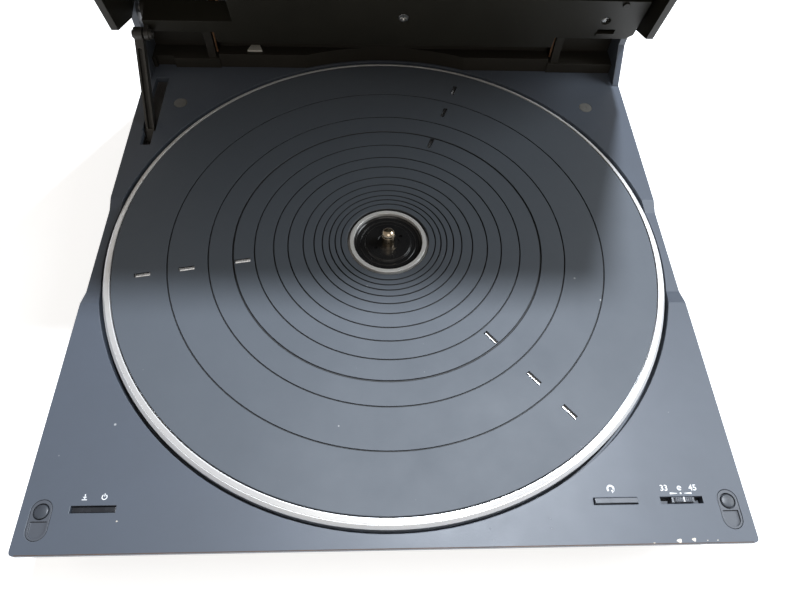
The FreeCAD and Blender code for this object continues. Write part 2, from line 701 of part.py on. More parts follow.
def corner_insert(side):
    """Trim with a round seat at the rear and a shallow recess at the front."""
    cx = side * INSERT_X
    top = DECK_TOP + 1
    body = stadium(cx, (INSERT_Y[0] + INSERT_GAP, INSERT_Y[1] - INSERT_GAP), INSERT_W - 2 * INSERT_GAP,
                   (DECK_TOP - INSERT_T, DECK_TOP - INSERT_SINK))
    front = stadium(cx, (INSERT_Y[0] + INSERT_BORDER, INSERT_STEP_Y + INSERT_W),
                    INSERT_W - 2 * INSERT_BORDER, (DECK_TOP - INSERT_RECESS, top))
    front = front.common(box((cx - INSERT_W, cx + INSERT_W), (INSERT_Y[0], INSERT_STEP_Y),
                             (DECK_TOP - INSERT_T, top)))
    seat = cyl(cx, INSERT_PAD_Y, (DECK_TOP - INSERT_T + INSERT_FLOOR_T, top), INSERT_PAD_R + PAD_GAP)
    return body.cut([front, seat])


def insert_pads():
    """Round rubber pads that the closed lid's posts land on."""
    pads = []
    z = (DECK_TOP - INSERT_T + INSERT_FLOOR_T, DECK_TOP + PAD_PROUD)
    for side in (-1, 1):
        pad = cyl(side * INSERT_X, INSERT_PAD_Y, z, INSERT_PAD_R)
        upper_edge = [e for e in pad.Edges if e.Closed and e.BoundBox.ZMin > DECK_TOP]
        pads.append(pad.makeFillet(PAD_EDGE_R, upper_edge))
    return group(pads)


def cheek(side):
    """Upright plate at a rear corner that holds the end of a hinge pin."""
    x = (side * LID_HALF_W, side * (LID_HALF_W - CHEEK_T))
    plate = prism_yz([(CHEEK_FRONT, DECK_TOP), (HINGE_Y - CHEEK_R, CHEEK_BEND_Z),
                      (HINGE_Y - CHEEK_R, HINGE_Z), (HINGE_Y + CHEEK_R, HINGE_Z),
                      (HINGE_Y + CHEEK_R, DECK_TOP)], x)
    plate = joined([plate, cyl_x(x, HINGE_Y, HINGE_Z, CHEEK_R)])
    return plate.cut(hinge_pin(side))


def rear_block():
    """Raised block along the rear: two steps in the middle, low ledges and hinge ears at the ends."""
    half = LID_HALF_W - CHEEK_T
    middle = (-BLOCK_HALF_W, BLOCK_HALF_W)
    lower = box(middle, (BLOCK_FRONT, BASE_REAR), (DECK_TOP, BLOCK_STEP_Z))
    upper = box(middle, (BLOCK_UPPER_FRONT, BASE_REAR), (BLOCK_STEP_Z - 1, BLOCK_TOP))
    ledge = box((-half, half), (LEDGE_FRONT, BASE_REAR), (DECK_TOP, LEDGE_TOP))
    ledge = ledge.cut(box(middle, (LEDGE_FRONT - 1, BLOCK_FRONT), (DECK_TOP - 1, LEDGE_TOP + 1)))
    body = joined([lower, upper, ledge])
    below = DECK_TOP - 1
    hollow = box((-half + BLOCK_WALL, half - BLOCK_WALL),
                 (BLOCK_FRONT + BLOCK_WALL, BASE_REAR - BLOCK_WALL), (below, LEDGE_TOP - BLOCK_WALL))
    hollow = hollow.cut(cyl(0, 0, (below - 1, LEDGE_TOP), WELL_OUT_R + BLOCK_WALL))
    notch = box(NOTCH_X, (LEDGE_FRONT - 1, NOTCH_REAR), (below, LEDGE_TOP + 1))
    body = body.cut(cyl(0, 0, (below, BLOCK_STEP_Z), WELL_OUT_R)).cut([hollow, notch])
    notch_wall = box((NOTCH_X[0] - 1, NOTCH_X[1] + 1), (NOTCH_REAR, NOTCH_REAR + NOTCH_WALL),
                     (DECK_TOP, LEDGE_TOP - 1))
    back = box((-half, half), (BASE_REAR - BLOCK_WALL, BASE_REAR), (LEDGE_TOP - 1, BLOCK_TOP))
    body = joined([body, notch_wall, back])
    for side in (-1, 1):
        x = (side * EAR_X[0], side * EAR_X[1])
        ear = box(x, (HINGE_Y - EAR_R, HINGE_Y + EAR_R), (LEDGE_TOP - 1, HINGE_Z))
        ear = joined([ear, cyl_x(x, HINGE_Y, HINGE_Z, EAR_R)])
        body = body.fuse(ear).cut(hinge_pin(side))
    return body.removeSplitter()


def hinge_pin(side):
    """Pin on the hinge line, from the inner side of the ear into the cheek."""
    return cyl_x((side * PIN_X[0], side * PIN_X[1]), HINGE_Y, HINGE_Z, PIN_R)


def hinge_pins():
    """Steel pins on the hinge line, fixed in the cheeks and ears."""
    return group([hinge_pin(side) for side in (-1, 1)])


def lid_springs():
    """Copper-coloured coil springs round the inner ends of the pins, with a leg down to the block."""
    springs = []
    turns = int((SPRING_X[1] - SPRING_X[0]) / (2 * SPRING_WIRE_R))
    for side in (-1, 1):
        coils = []
        for i in range(turns):
            centre = V(side * (SPRING_X[0] + SPRING_WIRE_R * (2 * i + 1)), HINGE_Y, HINGE_Z)
            coils.append(Part.makeTorus(SPRING_R, SPRING_WIRE_R + SPRING_LAP, centre, V(1, 0, 0)))
        leg = cyl(side * (SPRING_X[0] + SPRING_WIRE_R), HINGE_Y - SPRING_R,
                  (BLOCK_STEP_Z, HINGE_Z), SPRING_WIRE_R)
        springs.append(joined(coils + [leg]))
    return group(springs)


def lid_sensor():
    """Light wedge on the block's ledge that senses the closed lid."""
    x0, x1 = SENSOR_X
    outline = [(x0, SENSOR_Y[0]), (x1, SENSOR_Y[0]), (x1 - SENSOR_TAPER, SENSOR_Y[1]),
               (x0 + SENSOR_TAPER, SENSOR_Y[1])]
    return prism_xy(outline, (BLOCK_STEP_Z, HOUSING_BOTTOM - FACE_GAP))


# ---------------------------------------------------------------- electrics in the base
def stator_board():
    """Round motor board held under the well's floor."""
    return ring((STATOR_UNDER, STATOR_TOP), BEARING_R, STATOR_R)


def stator_coils():
    """Flat motor coils in a ring."""
    coils = []
    for i in range(COIL_COUNT):
        turn = math.radians(360.0 * (i + 0.5) / COIL_COUNT)
        place = (COIL_PITCH_R * math.cos(turn), COIL_PITCH_R * math.sin(turn))
        coils.append(ring((STATOR_TOP, STATOR_TOP + COIL_H), COIL_BORE_R, COIL_R, *place))
    return group(coils)


def bearing_housing():
    """Flanged sleeve with a closed end that carries the spindle."""
    top = PLATTER_UNDER - HUB_BOSS_H - BEARING_GAP
    sleeve = cyl(0, 0, (SHAFT_BOTTOM - BEARING_END_T, top), BEARING_R)
    flange = cyl(0, 0, (STATOR_UNDER - BEARING_FLANGE_T, STATOR_UNDER), BEARING_FLANGE_R)
    return joined([sleeve, flange]).cut(cyl(0, 0, (SHAFT_BOTTOM - FACE_GAP, top + 1), SHAFT_R + RUN_FIT))


def rear_opening(cx, half, z0, z1):
    """Opening through the tray's rear wall."""
    return box((cx - half, cx + half), (BASE_REAR - TRAY_WALL - 1, BASE_REAR + 1), (z0, z1))


def mains_inlet():
    """Two-pin inlet, set flush in the rear wall."""
    cx, half, z0, z1 = MAINS_OPENING
    mid = (z0 + z1) / 2.0
    body = box((cx - half, cx + half), (BASE_REAR - MAINS_D, BASE_REAR), (z0, z1))
    deep = (BASE_REAR - MAINS_MOUTH_D, BASE_REAR + 1)
    mouth = [cyl_y(deep, cx + dx, mid, MAINS_MOUTH_R) for dx in (-MAINS_MOUTH_X, MAINS_MOUTH_X)]
    mouth.append(box((cx - MAINS_MOUTH_X, cx + MAINS_MOUTH_X), deep,
                     (mid - MAINS_MOUTH_R, mid + MAINS_MOUTH_R)))
    pins = [cyl_y((deep[0] - 1, BASE_REAR - MAINS_PIN_BACK), cx + dx, mid, MAINS_PIN_R)
            for dx in (-MAINS_PIN_X, MAINS_PIN_X)]
    return joined([body.cut(mouth)] + pins)


def phono_sockets():
    """Pair of round output sockets on a plate."""
    cx, half, z0, z1 = PHONO_OPENING
    mid = (z0 + z1) / 2.0
    middles = (cx - PHONO_SPACING / 2.0, cx + PHONO_SPACING / 2.0)
    end = BASE_REAR + PHONO_L
    plate = box((cx - half, cx + half), (BASE_REAR - TRAY_WALL, BASE_REAR), (z0, z1))
    body = joined([plate] + [cyl_y((BASE_REAR - 0.5, end), x, mid, PHONO_R) for x in middles])
    return body.cut([cyl_y((BASE_REAR - 1, end + 1), x, mid, PHONO_BORE_R) for x in middles])


def earth_terminal():
    """Knurled screw for the earth wire."""
    cx, half, z0, z1 = EARTH_OPENING
    mid = (z0 + z1) / 2.0
    plate = box((cx - half, cx + half), (BASE_REAR - TRAY_WALL, BASE_REAR), (z0, z1))
    stem = cyl_y((BASE_REAR - 0.5, BASE_REAR + EARTH_STEM_L), cx, mid, EARTH_STEM_R)
    head = cyl_y((BASE_REAR + EARTH_HEAD_Y[0], BASE_REAR + EARTH_HEAD_Y[1]), cx, mid, EARTH_HEAD_R)
    return joined([plate, stem, head])


def core_middle_limb():
    """Sides of the core's middle limb."""
    mid = (CORE_X[0] + CORE_X[1]) / 2.0
    return (mid - CORE_MID_LIMB / 2.0, mid + CORE_MID_LIMB / 2.0)


def transformer_core():
    """Laminated core on two rails, standing on the tray."""
    z = (TRAY_FLOOR + CORE_UP, TRAY_FLOOR + CORE_UP + CORE_H)
    limb = core_middle_limb()
    inside_y = (CORE_Y[0] + CORE_YOKE, CORE_Y[1] - CORE_YOKE)
    windows = [box(x, inside_y, (z[0] - 1, z[1] + 1))
               for x in ((CORE_X[0] + CORE_LIMB, limb[0]), (limb[1], CORE_X[1] - CORE_LIMB))]
    rails = [box(CORE_X, y, (TRAY_FLOOR, z[0]))
             for y in ((CORE_Y[0], CORE_Y[0] + CORE_RAIL_W), (CORE_Y[1] - CORE_RAIL_W, CORE_Y[1]))]
    return joined([box(CORE_X, CORE_Y, z).cut(windows)] + rails)


def transformer_coil():
    """Taped winding round the core's middle limb."""
    z = (TRAY_FLOOR + CORE_UP, TRAY_FLOOR + CORE_UP + CORE_H)
    inset_x = CORE_LIMB + COIL_GAP
    inset_y = CORE_YOKE + COIL_GAP
    coil = box((CORE_X[0] + inset_x, CORE_X[1] - inset_x), (CORE_Y[0] + inset_y, CORE_Y[1] - inset_y),
               (TRAY_FLOOR + FACE_GAP, z[1] + COIL_OVER))
    return coil.cut(box(core_middle_limb(), CORE_Y, z))


def main_board():
    """Circuit board on short posts along the front of the tray."""
    under = BOARD_TOP - BOARD_T
    posts = [cyl(x, y, (TRAY_FLOOR, under), BOARD_POST_R) for x in BOARD_POST_X for y in BOARD_POST_Y]
    return joined([box(BOARD_X, BOARD_Y, (under, BOARD_TOP))] + posts)


def board_parts():
    """Chips, capacitors and a connector on the main board."""
    parts = [box((x, x + CHIP_L), CHIP_Y, (BOARD_TOP, BOARD_TOP + CHIP_H)) for x in CHIP_X]
    parts += [cyl(x, CAPACITOR_Y, (BOARD_TOP, BOARD_TOP + high), r) for x, r, high in CAPACITORS]
    parts.append(box(PLUG_STRIP_X, PLUG_STRIP_Y, (BOARD_TOP, BOARD_TOP + PLUG_STRIP_H)))
    return group(parts)


def heat_sink():
    """Finned plate at the end of the board."""
    z = (BOARD_TOP, BOARD_TOP + SINK_H)
    fronts = [SINK_Y + FIN_PITCH * i for i in range(FIN_COUNT)]
    fins = [box(SINK_X, (y, y + FIN_T), z) for y in fronts]
    return joined([box((SINK_X[0], SINK_X[0] + SINK_BACK_T), (SINK_Y, fronts[-1] + FIN_T), z)] + fins)


def switch_bodies():
    """Switch under each front control, with a clear shaft for its stem."""
    bodies = []
    inner = SWITCH_HALF_W - SWITCH_WALL
    for x in (POWER_X, REPEAT_X, SPEED_X):
        mid = (x[0] + x[1]) / 2.0
        block = box((mid - SWITCH_HALF_W, mid + SWITCH_HALF_W),
                    (CONTROL_Y[0] - SWITCH_FRONT, CONTROL_Y[1] + SWITCH_REAR), (BOARD_TOP, SWITCH_TOP))
        shaft = box((mid - inner, mid + inner),
                    (CONTROL_Y[0] - SWITCH_SHAFT_GAP, CONTROL_Y[1] + SWITCH_SHAFT_GAP),
                    (SWITCH_FLOOR, SWITCH_TOP + 1))
        bodies.append(block.cut(shaft))
    return group(bodies)


# ---------------------------------------------------------------- front controls
def push_button(x, top, stem_low):
    """Rectangular button with a flange below the deck and a flat stem."""
    mid = (x[0] + x[1]) / 2.0
    flange_low = FLANGE_TOP - FLANGE_T
    cap = box((x[0] + BUTTON_GAP, x[1] - BUTTON_GAP), (CONTROL_Y[0] + BUTTON_GAP, CONTROL_Y[1] - BUTTON_GAP),
              (FLANGE_TOP - 0.6, top))
    cap = cap.makeFillet(BUTTON_EDGE_R, [e for e in cap.Edges if e.BoundBox.ZMin > top - 0.1])
    flange = box((x[0] - FLANGE_OVER_X, x[1] + FLANGE_OVER_X),
                 (CONTROL_Y[0] - FLANGE_OVER_Y, CONTROL_Y[1] + FLANGE_OVER_Y), (flange_low, FLANGE_TOP))
    stem = box((mid - STEM_HALF_W, mid + STEM_HALF_W), (CONTROL_Y[0] + STEM_INSET, CONTROL_Y[1] - STEM_INSET),
               (stem_low, flange_low + 0.5))
    return joined([cap, flange, stem])


def power_button():
    """Latching power button, down at rest."""
    return push_button(POWER_X, DECK_TOP + POWER_REST, POWER_STEM_LOW)


def repeat_button():
    """Repeat button, standing a little proud."""
    return push_button(REPEAT_X, DECK_TOP + REPEAT_PROUD, REPEAT_STEM_LOW)


def speed_slider():
    """Sliding speed selector with a bevelled knob and a plate below the deck."""
    mid = (SPEED_X[0] + SPEED_X[1]) / 2.0 + SPEED_SHIFT
    half = SPEED_KNOB_W / 2.0
    plate_half = half + SPEED_TRAVEL + SPEED_PLATE_OVER
    top = DECK_TOP + SPEED_PROUD
    plate_top = DECK_UNDER - FACE_GAP
    plate_low = plate_top - SPEED_PLATE_T
    y = (CONTROL_Y[0] + BUTTON_GAP, CONTROL_Y[1] - BUTTON_GAP)
    knob = box((mid - half, mid + half), y, (plate_low + 1, top))
    knob = knob.makeChamfer(SPEED_EDGE, [e for e in knob.Edges if e.BoundBox.ZMin > top - 0.1])
    plate = box((mid - plate_half, mid + plate_half), (CONTROL_Y[0] - STEM_INSET, CONTROL_Y[1] + STEM_INSET),
                (plate_low, plate_top))
    stem = box((mid - SPEED_STEM_HALF_W, mid + SPEED_STEM_HALF_W), (y[0] + 0.6, y[1] - 0.6),
               (SPEED_STEM_LOW, plate_low + 0.5))
    return joined([knob, plate, stem])


# ---------------------------------------------------------------- platter
def platter():
    """Cast platter: bright two-facet rim, thin web and a hub boss on the spindle."""
    line_low = -RIM_MID_DROP - RIM_LINE
    line_out = RIM_MID_R + 0.25
    boss_low = PLATTER_UNDER - HUB_BOSS_H
    return turned([(SHAFT_R, PLATTER_TOP), (RIM_INNER_R, PLATTER_TOP), (RIM_INNER_R, -0.1),
                   (RIM_INNER_R + 0.2, 0.0), (RIM_INNER_R + 0.4, 0.0), (RIM_MID_R, -RIM_MID_DROP + 0.1),
                   (RIM_MID_R, line_low), (line_out, line_low), (line_out, -RIM_MID_DROP - 0.1),
                   (PLATTER_R, -RIM_DROP), (PLATTER_R, RIM_BOTTOM), (PLATTER_R - RIM_WALL, RIM_BOTTOM),
                   (PLATTER_R - RIM_WALL - RIM_ROOT, PLATTER_UNDER), (HUB_BOSS_R, PLATTER_UNDER),
                   (HUB_BOSS_R, boss_low), (SHAFT_R, boss_low)])


def platter_mat():
    """Rubber mat with turned grooves and nine slots for the size sensor."""
    outline = [(MAT_HOLE_R, PLATTER_TOP), (MAT_R, PLATTER_TOP), (MAT_R, -0.3), (MAT_R - 0.3, 0.0)]
    for number, share in reversed(list(enumerate(GROOVE_SHARES))):
        r = MAT_HOLE_R + share * MAT_W
        half = (BOLD_GROOVE_W if number == BOLD_GROOVE else GROOVE_W) / 2.0
        floor = half / 2.0
        outline += [(r + half, 0.0), (r + floor, -GROOVE_D), (r - floor, -GROOVE_D), (r - half, 0.0)]
    outline += [(MAT_HOLE_R + 0.5, 0.0), (MAT_HOLE_R, -0.5)]
    slot = (WINDOW_L / 2.0, [(-WINDOW_W / 2.0, PLATTER_TOP - 1), (WINDOW_W / 2.0, PLATTER_TOP - 1),
                             (WINDOW_W / 2.0, 1.0), (-WINDOW_W / 2.0, 1.0)])
    return turned(outline).cut(at_windows(*slot))


def at_windows(half_length, section):
    """Copies of a section of (across, z) points, carried along the radius at each sensor slot."""
    made = []
    for share in WINDOW_SHARES:
        r = MAT_HOLE_R + share * MAT_W
        for angle in WINDOW_ANGLES:
            shape = prism_yz(section, (r - half_length, r + half_length))
            shape.rotate(V(0, 0, 0), V(0, 0, 1), angle)
            made.append(shape)
    return made


def size_windows():
    """Bright reflectors at the bottom of the mat's slots, sloped across them."""
    half = WINDOW_W / 2.0 - MIRROR_GAP
    section = [(-half, PLATTER_TOP), (half, PLATTER_TOP), (half, PLATTER_TOP + MIRROR_LOW),
               (-half, PLATTER_TOP + MIRROR_HIGH)]
    return group(at_windows(WINDOW_L / 2.0 - MIRROR_GAP, section))


def hub_ring():
    """Bright ring round the centre disc."""
    return turned([(HUB_RING_IN_R, PLATTER_TOP), (HUB_RING_R, PLATTER_TOP), (HUB_RING_R, -0.3),
                   (HUB_RING_R - 0.25, -0.1), (HUB_RING_IN_R + 0.25, -0.1), (HUB_RING_IN_R, -0.3)])


def centre_disc():
    """Glossy stepped disc round the spindle, with two small holes."""
    rim = CENTRE_LEDGE + 0.5
    disc = turned([(SHAFT_R, PLATTER_TOP), (CENTRE_DISC_R, PLATTER_TOP), (CENTRE_DISC_R, rim),
                   (CENTRE_DISC_R - 0.8, rim), (CENTRE_DISC_R - 1.3, CENTRE_LEDGE),
                   (CENTRE_STEP_R + 0.5, CENTRE_LEDGE), (CENTRE_STEP_R, CENTRE_TOP - 0.2),
                   (CENTRE_STEP_R - 0.5, CENTRE_TOP), (SPINDLE_R + 1.5, SPINDLE_SHOULDER),
                   (SHAFT_R, SPINDLE_SHOULDER)])
    z = (CENTRE_TOP - CENTRE_HOLE_D, 0)
    return disc.cut([cyl(s * CENTRE_HOLE_X, s * CENTRE_HOLE_Y, z, CENTRE_HOLE_R) for s in (-1, 1)])


def spindle():
    """Spindle with a domed tip above and a thinner bearing shaft below."""
    wall_top = TIP_MID_Z + math.sqrt(TIP_R ** 2 - SPINDLE_R ** 2)
    shaft = cyl(0, 0, (SHAFT_BOTTOM, SPINDLE_SHOULDER), SHAFT_R)
    nose = cyl(0, 0, (SPINDLE_SHOULDER, wall_top), SPINDLE_R)
    tip = Part.makeSphere(TIP_R, V(0, 0, TIP_MID_Z)).common(cyl(0, 0, (wall_top, SPINDLE_TOP), SPINDLE_R))
    return joined([shaft, nose, tip])


def rotor_magnet():
    """Ring magnet under the platter."""
    return ring((PLATTER_UNDER - MAGNET_H, PLATTER_UNDER), MAGNET_IN_R, MAGNET_OUT_R)


# ---------------------------------------------------------------- lid stay
def lid_stay():
    """Channel-section bar from the lid's bracket down through the slot in the deck."""
    x0, x1 = STAY_X
    mid = (x0 + x1) / 2.0
    half = STAY_DEPTH / 2.0
    bar = box(STAY_X, (-STAY_L, 0), (-half, half))
    bar = bar.cut(box((x0 + STAY_WALL, x1 - STAY_WALL), (-STAY_L + STAY_CHANNEL[0], -STAY_CHANNEL[1]),
                      (-half + STAY_WEB, half + 1)))
    bar = bar.fuse([cyl_x(STAY_X, 0, 0, STAY_BOSS_R), cyl_x(STAY_X, -STAY_L, 0, half)])
    bar = bar.cut(cyl_x((x0 - 1, x1 + 1), 0, 0, STAY_PIN_R + RUN_FIT))
    bar = joined([bar, cyl_x((mid - STAY_PIN_HALF_L, mid + STAY_PIN_HALF_L), -STAY_L, 0, STAY_PIN_R)])
    bar.rotate(V(0, 0, 0), V(1, 0, 0), STAY_ANGLE)
    bar.translate(V(0, STAY_PIVOT_Y, STAY_PIVOT_Z))
    return bar


def stay_bracket():
    """Ear under the housing's left end, with the pin that carries the stay."""
    y, z = lid_turned(STAY_PIVOT_Y, STAY_PIVOT_Z, LID_OPEN)
    x = (SHELF_X, SHELF_X + BRACKET_T)
    washer = (x[1], x[1] + BRACKET_WASHER_T)
    cap_x = STAY_X[0] - FACE_GAP
    ear = box(x, (y - BRACKET_R, y + BRACKET_R), (z, HOUSING_BOTTOM))
    pin = cyl_x((cap_x - 0.7, washer[1] + 0.6), y, z, STAY_PIN_R)
    cap = cyl_x((cap_x - BRACKET_CAP_T, cap_x), y, z, BRACKET_CAP_R)
    return opened(joined([ear, cyl_x(x, y, z, BRACKET_R), pin, cyl_x(washer, y, z, BRACKET_WASHER_R), cap]))


def stay_guide():
    """Open channel under the deck that the stay's lower end runs in."""
    front, rear = stay_slot_y()
    x = (STAY_SLOT_X[0] - GUIDE_T, STAY_SLOT_X[1] + GUIDE_T)
    y = (front - GUIDE_OVER, rear + GUIDE_OVER)
    floor = stay_travel()[1] - STAY_DEPTH / 2.0 - STAY_FLOOR_ROOM
    inside = box(STAY_SLOT_X, (y[0] + GUIDE_T, y[1] - GUIDE_T), (floor, DECK_UNDER + 1))
    return box(x, y, (floor - GUIDE_T, DECK_UNDER)).cut(inside)


def stay_screw():
    """Small bright screw in the front of the guide."""
    x = (STAY_SLOT_X[0] + STAY_SLOT_X[1]) / 2.0
    y = stay_slot_y()[0] - GUIDE_OVER + GUIDE_T
    return cyl_y((y, y + GUIDE_SCREW_L), x, DECK_UNDER - GUIDE_SCREW_DROP, GUIDE_SCREW_R)


# ---------------------------------------------------------------- lid
def lid_side(side):
    """Side wall of the lid, its rear end cut round the cheek."""
    x = (side * LID_INNER_X, side * LID_HALF_W)
    wide = (min(x) - 1, max(x) + 1)
    cheek_y = HINGE_Y - CHEEK_R - LID_GAP
    beyond = BASE_REAR + 3
    wall = box(x, (LID_FRONT, HINGE_Y + 6.0), (RIM_Z, LID_TOP))
    below = [(CHEEK_FRONT - LID_GAP - 0.4, RIM_Z - 1), (cheek_y, CHEEK_BEND_Z), (cheek_y, HINGE_Z),
             (beyond, HINGE_Z), (beyond, RIM_Z - 1)]
    behind = box(wide, (HINGE_Y, beyond), (RIM_Z - 1, HINGE_Z + CHEEK_R * 0.9))
    return wall.cut([prism_yz(below, wide), cyl_x(wide, HINGE_Y, HINGE_Z, CHEEK_R + LID_GAP), behind])


def lid_envelope():
    """Outside of the lid, with its upper and front upright edges rounded."""
    block = box((-LID_HALF_W, LID_HALF_W), (LID_FRONT, LID_REAR), (RIM_Z, LID_TOP))
    bounds = [(e, e.BoundBox) for e in block.Edges]
    edges = [e for e, b in bounds if b.YMax < LID_FRONT + 1 and b.ZLength > LID_EDGE_R]
    edges += [e for e, b in bounds if b.ZMin > LID_TOP - 1]
    return block.makeFillet(LID_EDGE_R, edges)


def lid_shell():
    """Moulded lid: top, front and side walls, part rear wall, hinge lugs, posts and ribs."""
    full = (-LID_HALF_W, LID_HALF_W)
    into_top = LID_INNER_TOP + 0.5
    top = box(full, (LID_FRONT, LID_REAR), (LID_INNER_TOP, LID_TOP))
    front = box(full, (LID_FRONT, LID_FRONT + LID_WALL), (RIM_Z, LID_TOP))
    rear = box((-REAR_WALL_HALF_W, REAR_WALL_HALF_W), (LID_REAR - REAR_WALL_T, LID_REAR),
               (REAR_WALL_BOTTOM, LID_TOP))
    pieces = [top, front, rear, lid_side(-1), lid_side(1)]
    holes = [lid_button_hole(cx, width) for _, cx, width in LID_BUTTONS]
    for side in (-1, 1):
        x = (side * LUG_X[0], side * LUG_X[1])
        pieces.append(cyl_x(x, HINGE_Y, HINGE_Z, LUG_R))
        pieces.append(box(x, (HINGE_Y - LUG_R, HINGE_Y + 6.0), (HINGE_Z, into_top)))
        pieces.append(cyl(side * INSERT_X, INSERT_PAD_Y, (RIM_Z, into_top), POST_R))
        holes.append(cyl_x((side * (LUG_X[0] - 1), side * (LUG_X[1] + 1)), HINGE_Y, HINGE_Z, PIN_R + RUN_FIT))
    for y in RIB_Y:
        pieces.append(box(RIB_X, (y, y + RIB_T), (LID_INNER_TOP - RIB_H, into_top)))
    body = joined(pieces).common(lid_envelope())
    return opened(body.cut(holes).removeSplitter())


def lid_button_hole(cx, width):
    """Opening in the lid's top for one button."""
    return box((cx - width / 2, cx + width / 2), LID_BUTTON_Y, (LID_INNER_TOP - 1, LID_TOP + 1))


def lid_button(cx, width):
    """Button cap with a flange under the lid's top and a short stem."""
    half = width / 2
    y0, y1 = LID_BUTTON_Y
    flange_top = LID_INNER_TOP - FACE_GAP
    flange_low = flange_top - LID_FLANGE_T
    cap = box((cx - half + BUTTON_GAP, cx + half - BUTTON_GAP), (y0 + BUTTON_GAP, y1 - BUTTON_GAP),
              (flange_low + 0.1, LID_TOP + LID_BUTTON_PROUD))
    cap = cap.makeFillet(LID_BUTTON_EDGE_R, [e for e in cap.Edges if e.BoundBox.ZMin > LID_TOP])
    over = LID_FLANGE_OVER
    flange = box((cx - half - over, cx + half + over), (y0 - over, y1 + over), (flange_low, flange_top))
    stem = cyl(cx, (y0 + y1) / 2, (LID_INNER_TOP - LID_STEM_L, flange_low + 0.5), LID_STEM_R)
    return opened(joined([cap, flange, stem]))


def control_board():
    """Board with switches behind the lid's buttons."""
    switch_top = LID_INNER_TOP - LID_STEM_L - LID_BUTTON_TRAVEL - FACE_GAP
    board_top = switch_top - LID_SWITCH_H
    y = (LID_BUTTON_Y[0] - LID_BOARD_OVER_Y, LID_BUTTON_Y[1] + LID_BOARD_OVER_Y)
    switch_y = (y[0] + LID_SWITCH_INSET, y[1] - LID_SWITCH_INSET)
    board = box(LID_BOARD_X, y, (board_top - LID_BOARD_T, board_top))
    switches = [box((cx - LID_SWITCH_HALF_W, cx + LID_SWITCH_HALF_W), switch_y, (board_top - 0.2, switch_top))
                for _, cx, _ in LID_BUTTONS]
    posts = [cyl(x, (y[0] + y[1]) / 2, (board_top - 0.2, LID_INNER_TOP), LID_POST_R)
             for x in (LID_BOARD_X[0] + 2.5, 0, LID_BOARD_X[1] - 3.5)]
    return opened(joined([board] + switches + posts))


def housing_outline(inset):
    """Plan of the arm housing, drawn in by inset: (x, y) points, anticlockwise."""
    x0, x1 = HOUSING_X
    i = inset
    return [(x0 + i, HOUSING_FRONT + i), (x1 - i, HOUSING_FRONT + i),
            (x1 - i, HOUSING_SIDE_REAR - HOUSING_CORNER_R * 0.4),
            (x1 - HOUSING_CORNER_R * 0.4, HOUSING_SIDE_REAR - i), (HOUSING_SIDE_X - i, HOUSING_SIDE_REAR - i),
            (HOUSING_SIDE_X - i, HOUSING_REAR - i), (x0 + i, HOUSING_REAR - i)]


def shelf_outline(inset):
    """Plan of the housing's low left end, drawn in by inset."""
    i = inset
    return [(SHELF_X + i, SHELF_FRONT + i), (HOUSING_X[0] + i, SHELF_FRONT + i),
            (HOUSING_X[0] + i, HOUSING_REAR - i), (-HOUSING_SIDE_X + i, HOUSING_REAR - i),
            (-HOUSING_SIDE_X + i, HOUSING_SIDE_REAR - i), (SHELF_X + i, HOUSING_SIDE_REAR - i)]


def arm_housing():
    """Cover over the tracking drive: floor, walls, a slot for the arm and the low left end."""
    floor = HOUSING_BOTTOM + HOUSING_T
    through = (HOUSING_BOTTOM - 1, floor + 1)
    body = prism_xy(housing_outline(0.0), (HOUSING_BOTTOM, LID_INNER_TOP))
    body = body.cut(prism_xy(housing_outline(HOUSING_T), (floor, LID_INNER_TOP + 1)))
    shelf = prism_xy(shelf_outline(0.0), (HOUSING_BOTTOM, HOUSING_BOTTOM + SHELF_H))
    shelf = shelf.cut(prism_xy(shelf_outline(HOUSING_T), (floor, HOUSING_BOTTOM + SHELF_H - HOUSING_T)))
    pieces = [body, shelf,
              box((RIB_INNER_X - RIB_INNER_T, RIB_INNER_X), (HOUSING_FRONT + 1, HOUSING_REAR - 1),
                  (HOUSING_BOTTOM + 1, LID_INNER_TOP)),
              cyl(PEG_X, PEG_Y, (HOUSING_BOTTOM - PEG_H, HOUSING_BOTTOM + 1), PEG_R),
              box(SLOT_X, (SLOT_Y[1], SLOT_Y[1] + SLOT_LEDGE_W),
                  (HOUSING_BOTTOM - SLOT_LEDGE_H, HOUSING_BOTTOM + 1)),
              cyl(IDLER_X, PULLEY_Y, (HOUSING_BOTTOM + 1, PULLEY_Z[0] - IDLER_POST_DROP), IDLER_POST_R),
              cyl(IDLER_X, PULLEY_Y, (PULLEY_Z[0] - 1, PULLEY_Z[1] + SHAFT_OVER), PULLEY_BORE_R)]
    body = joined(pieces)
    cuts = [box(ARM_SLOT_X, (HOUSING_FRONT - 1, HOUSING_FRONT + HOUSING_T + 1), ARM_SLOT_Z),
            box(SLOT_X, SLOT_Y, through), cyl(LENS_X, LENS_Y, through, LENS_R),
            cyl(SCREW_X, SCREW_Y, (HOUSING_BOTTOM - 1, HOUSING_BOTTOM + HOUSING_SCREW_D),
                HOUSING_SCREW_R + HOUSING_SCREW_GAP),
            box((RIB_INNER_X - RIB_INNER_T - 1, RIB_INNER_X + 1),
                (PULLEY_Y - PULLEY_R - 2, PULLEY_Y + PULLEY_R + 2), (PULLEY_Z[0] - 1, PULLEY_Z[1] + 1))]
    cuts += [cyl_x((RIB_INNER_X - RIB_INNER_T - 1, ROD_END_X), y, ROD_Z, ROD_R) for y in ROD_Y]
    return opened(body.cut(cuts).removeSplitter())


def guide_rods():
    """Two polished rods that the carriage slides on."""
    return opened(group([cyl_x((RIB_INNER_X - RIB_INNER_T, ROD_END_X), y, ROD_Z, ROD_R) for y in ROD_Y]))


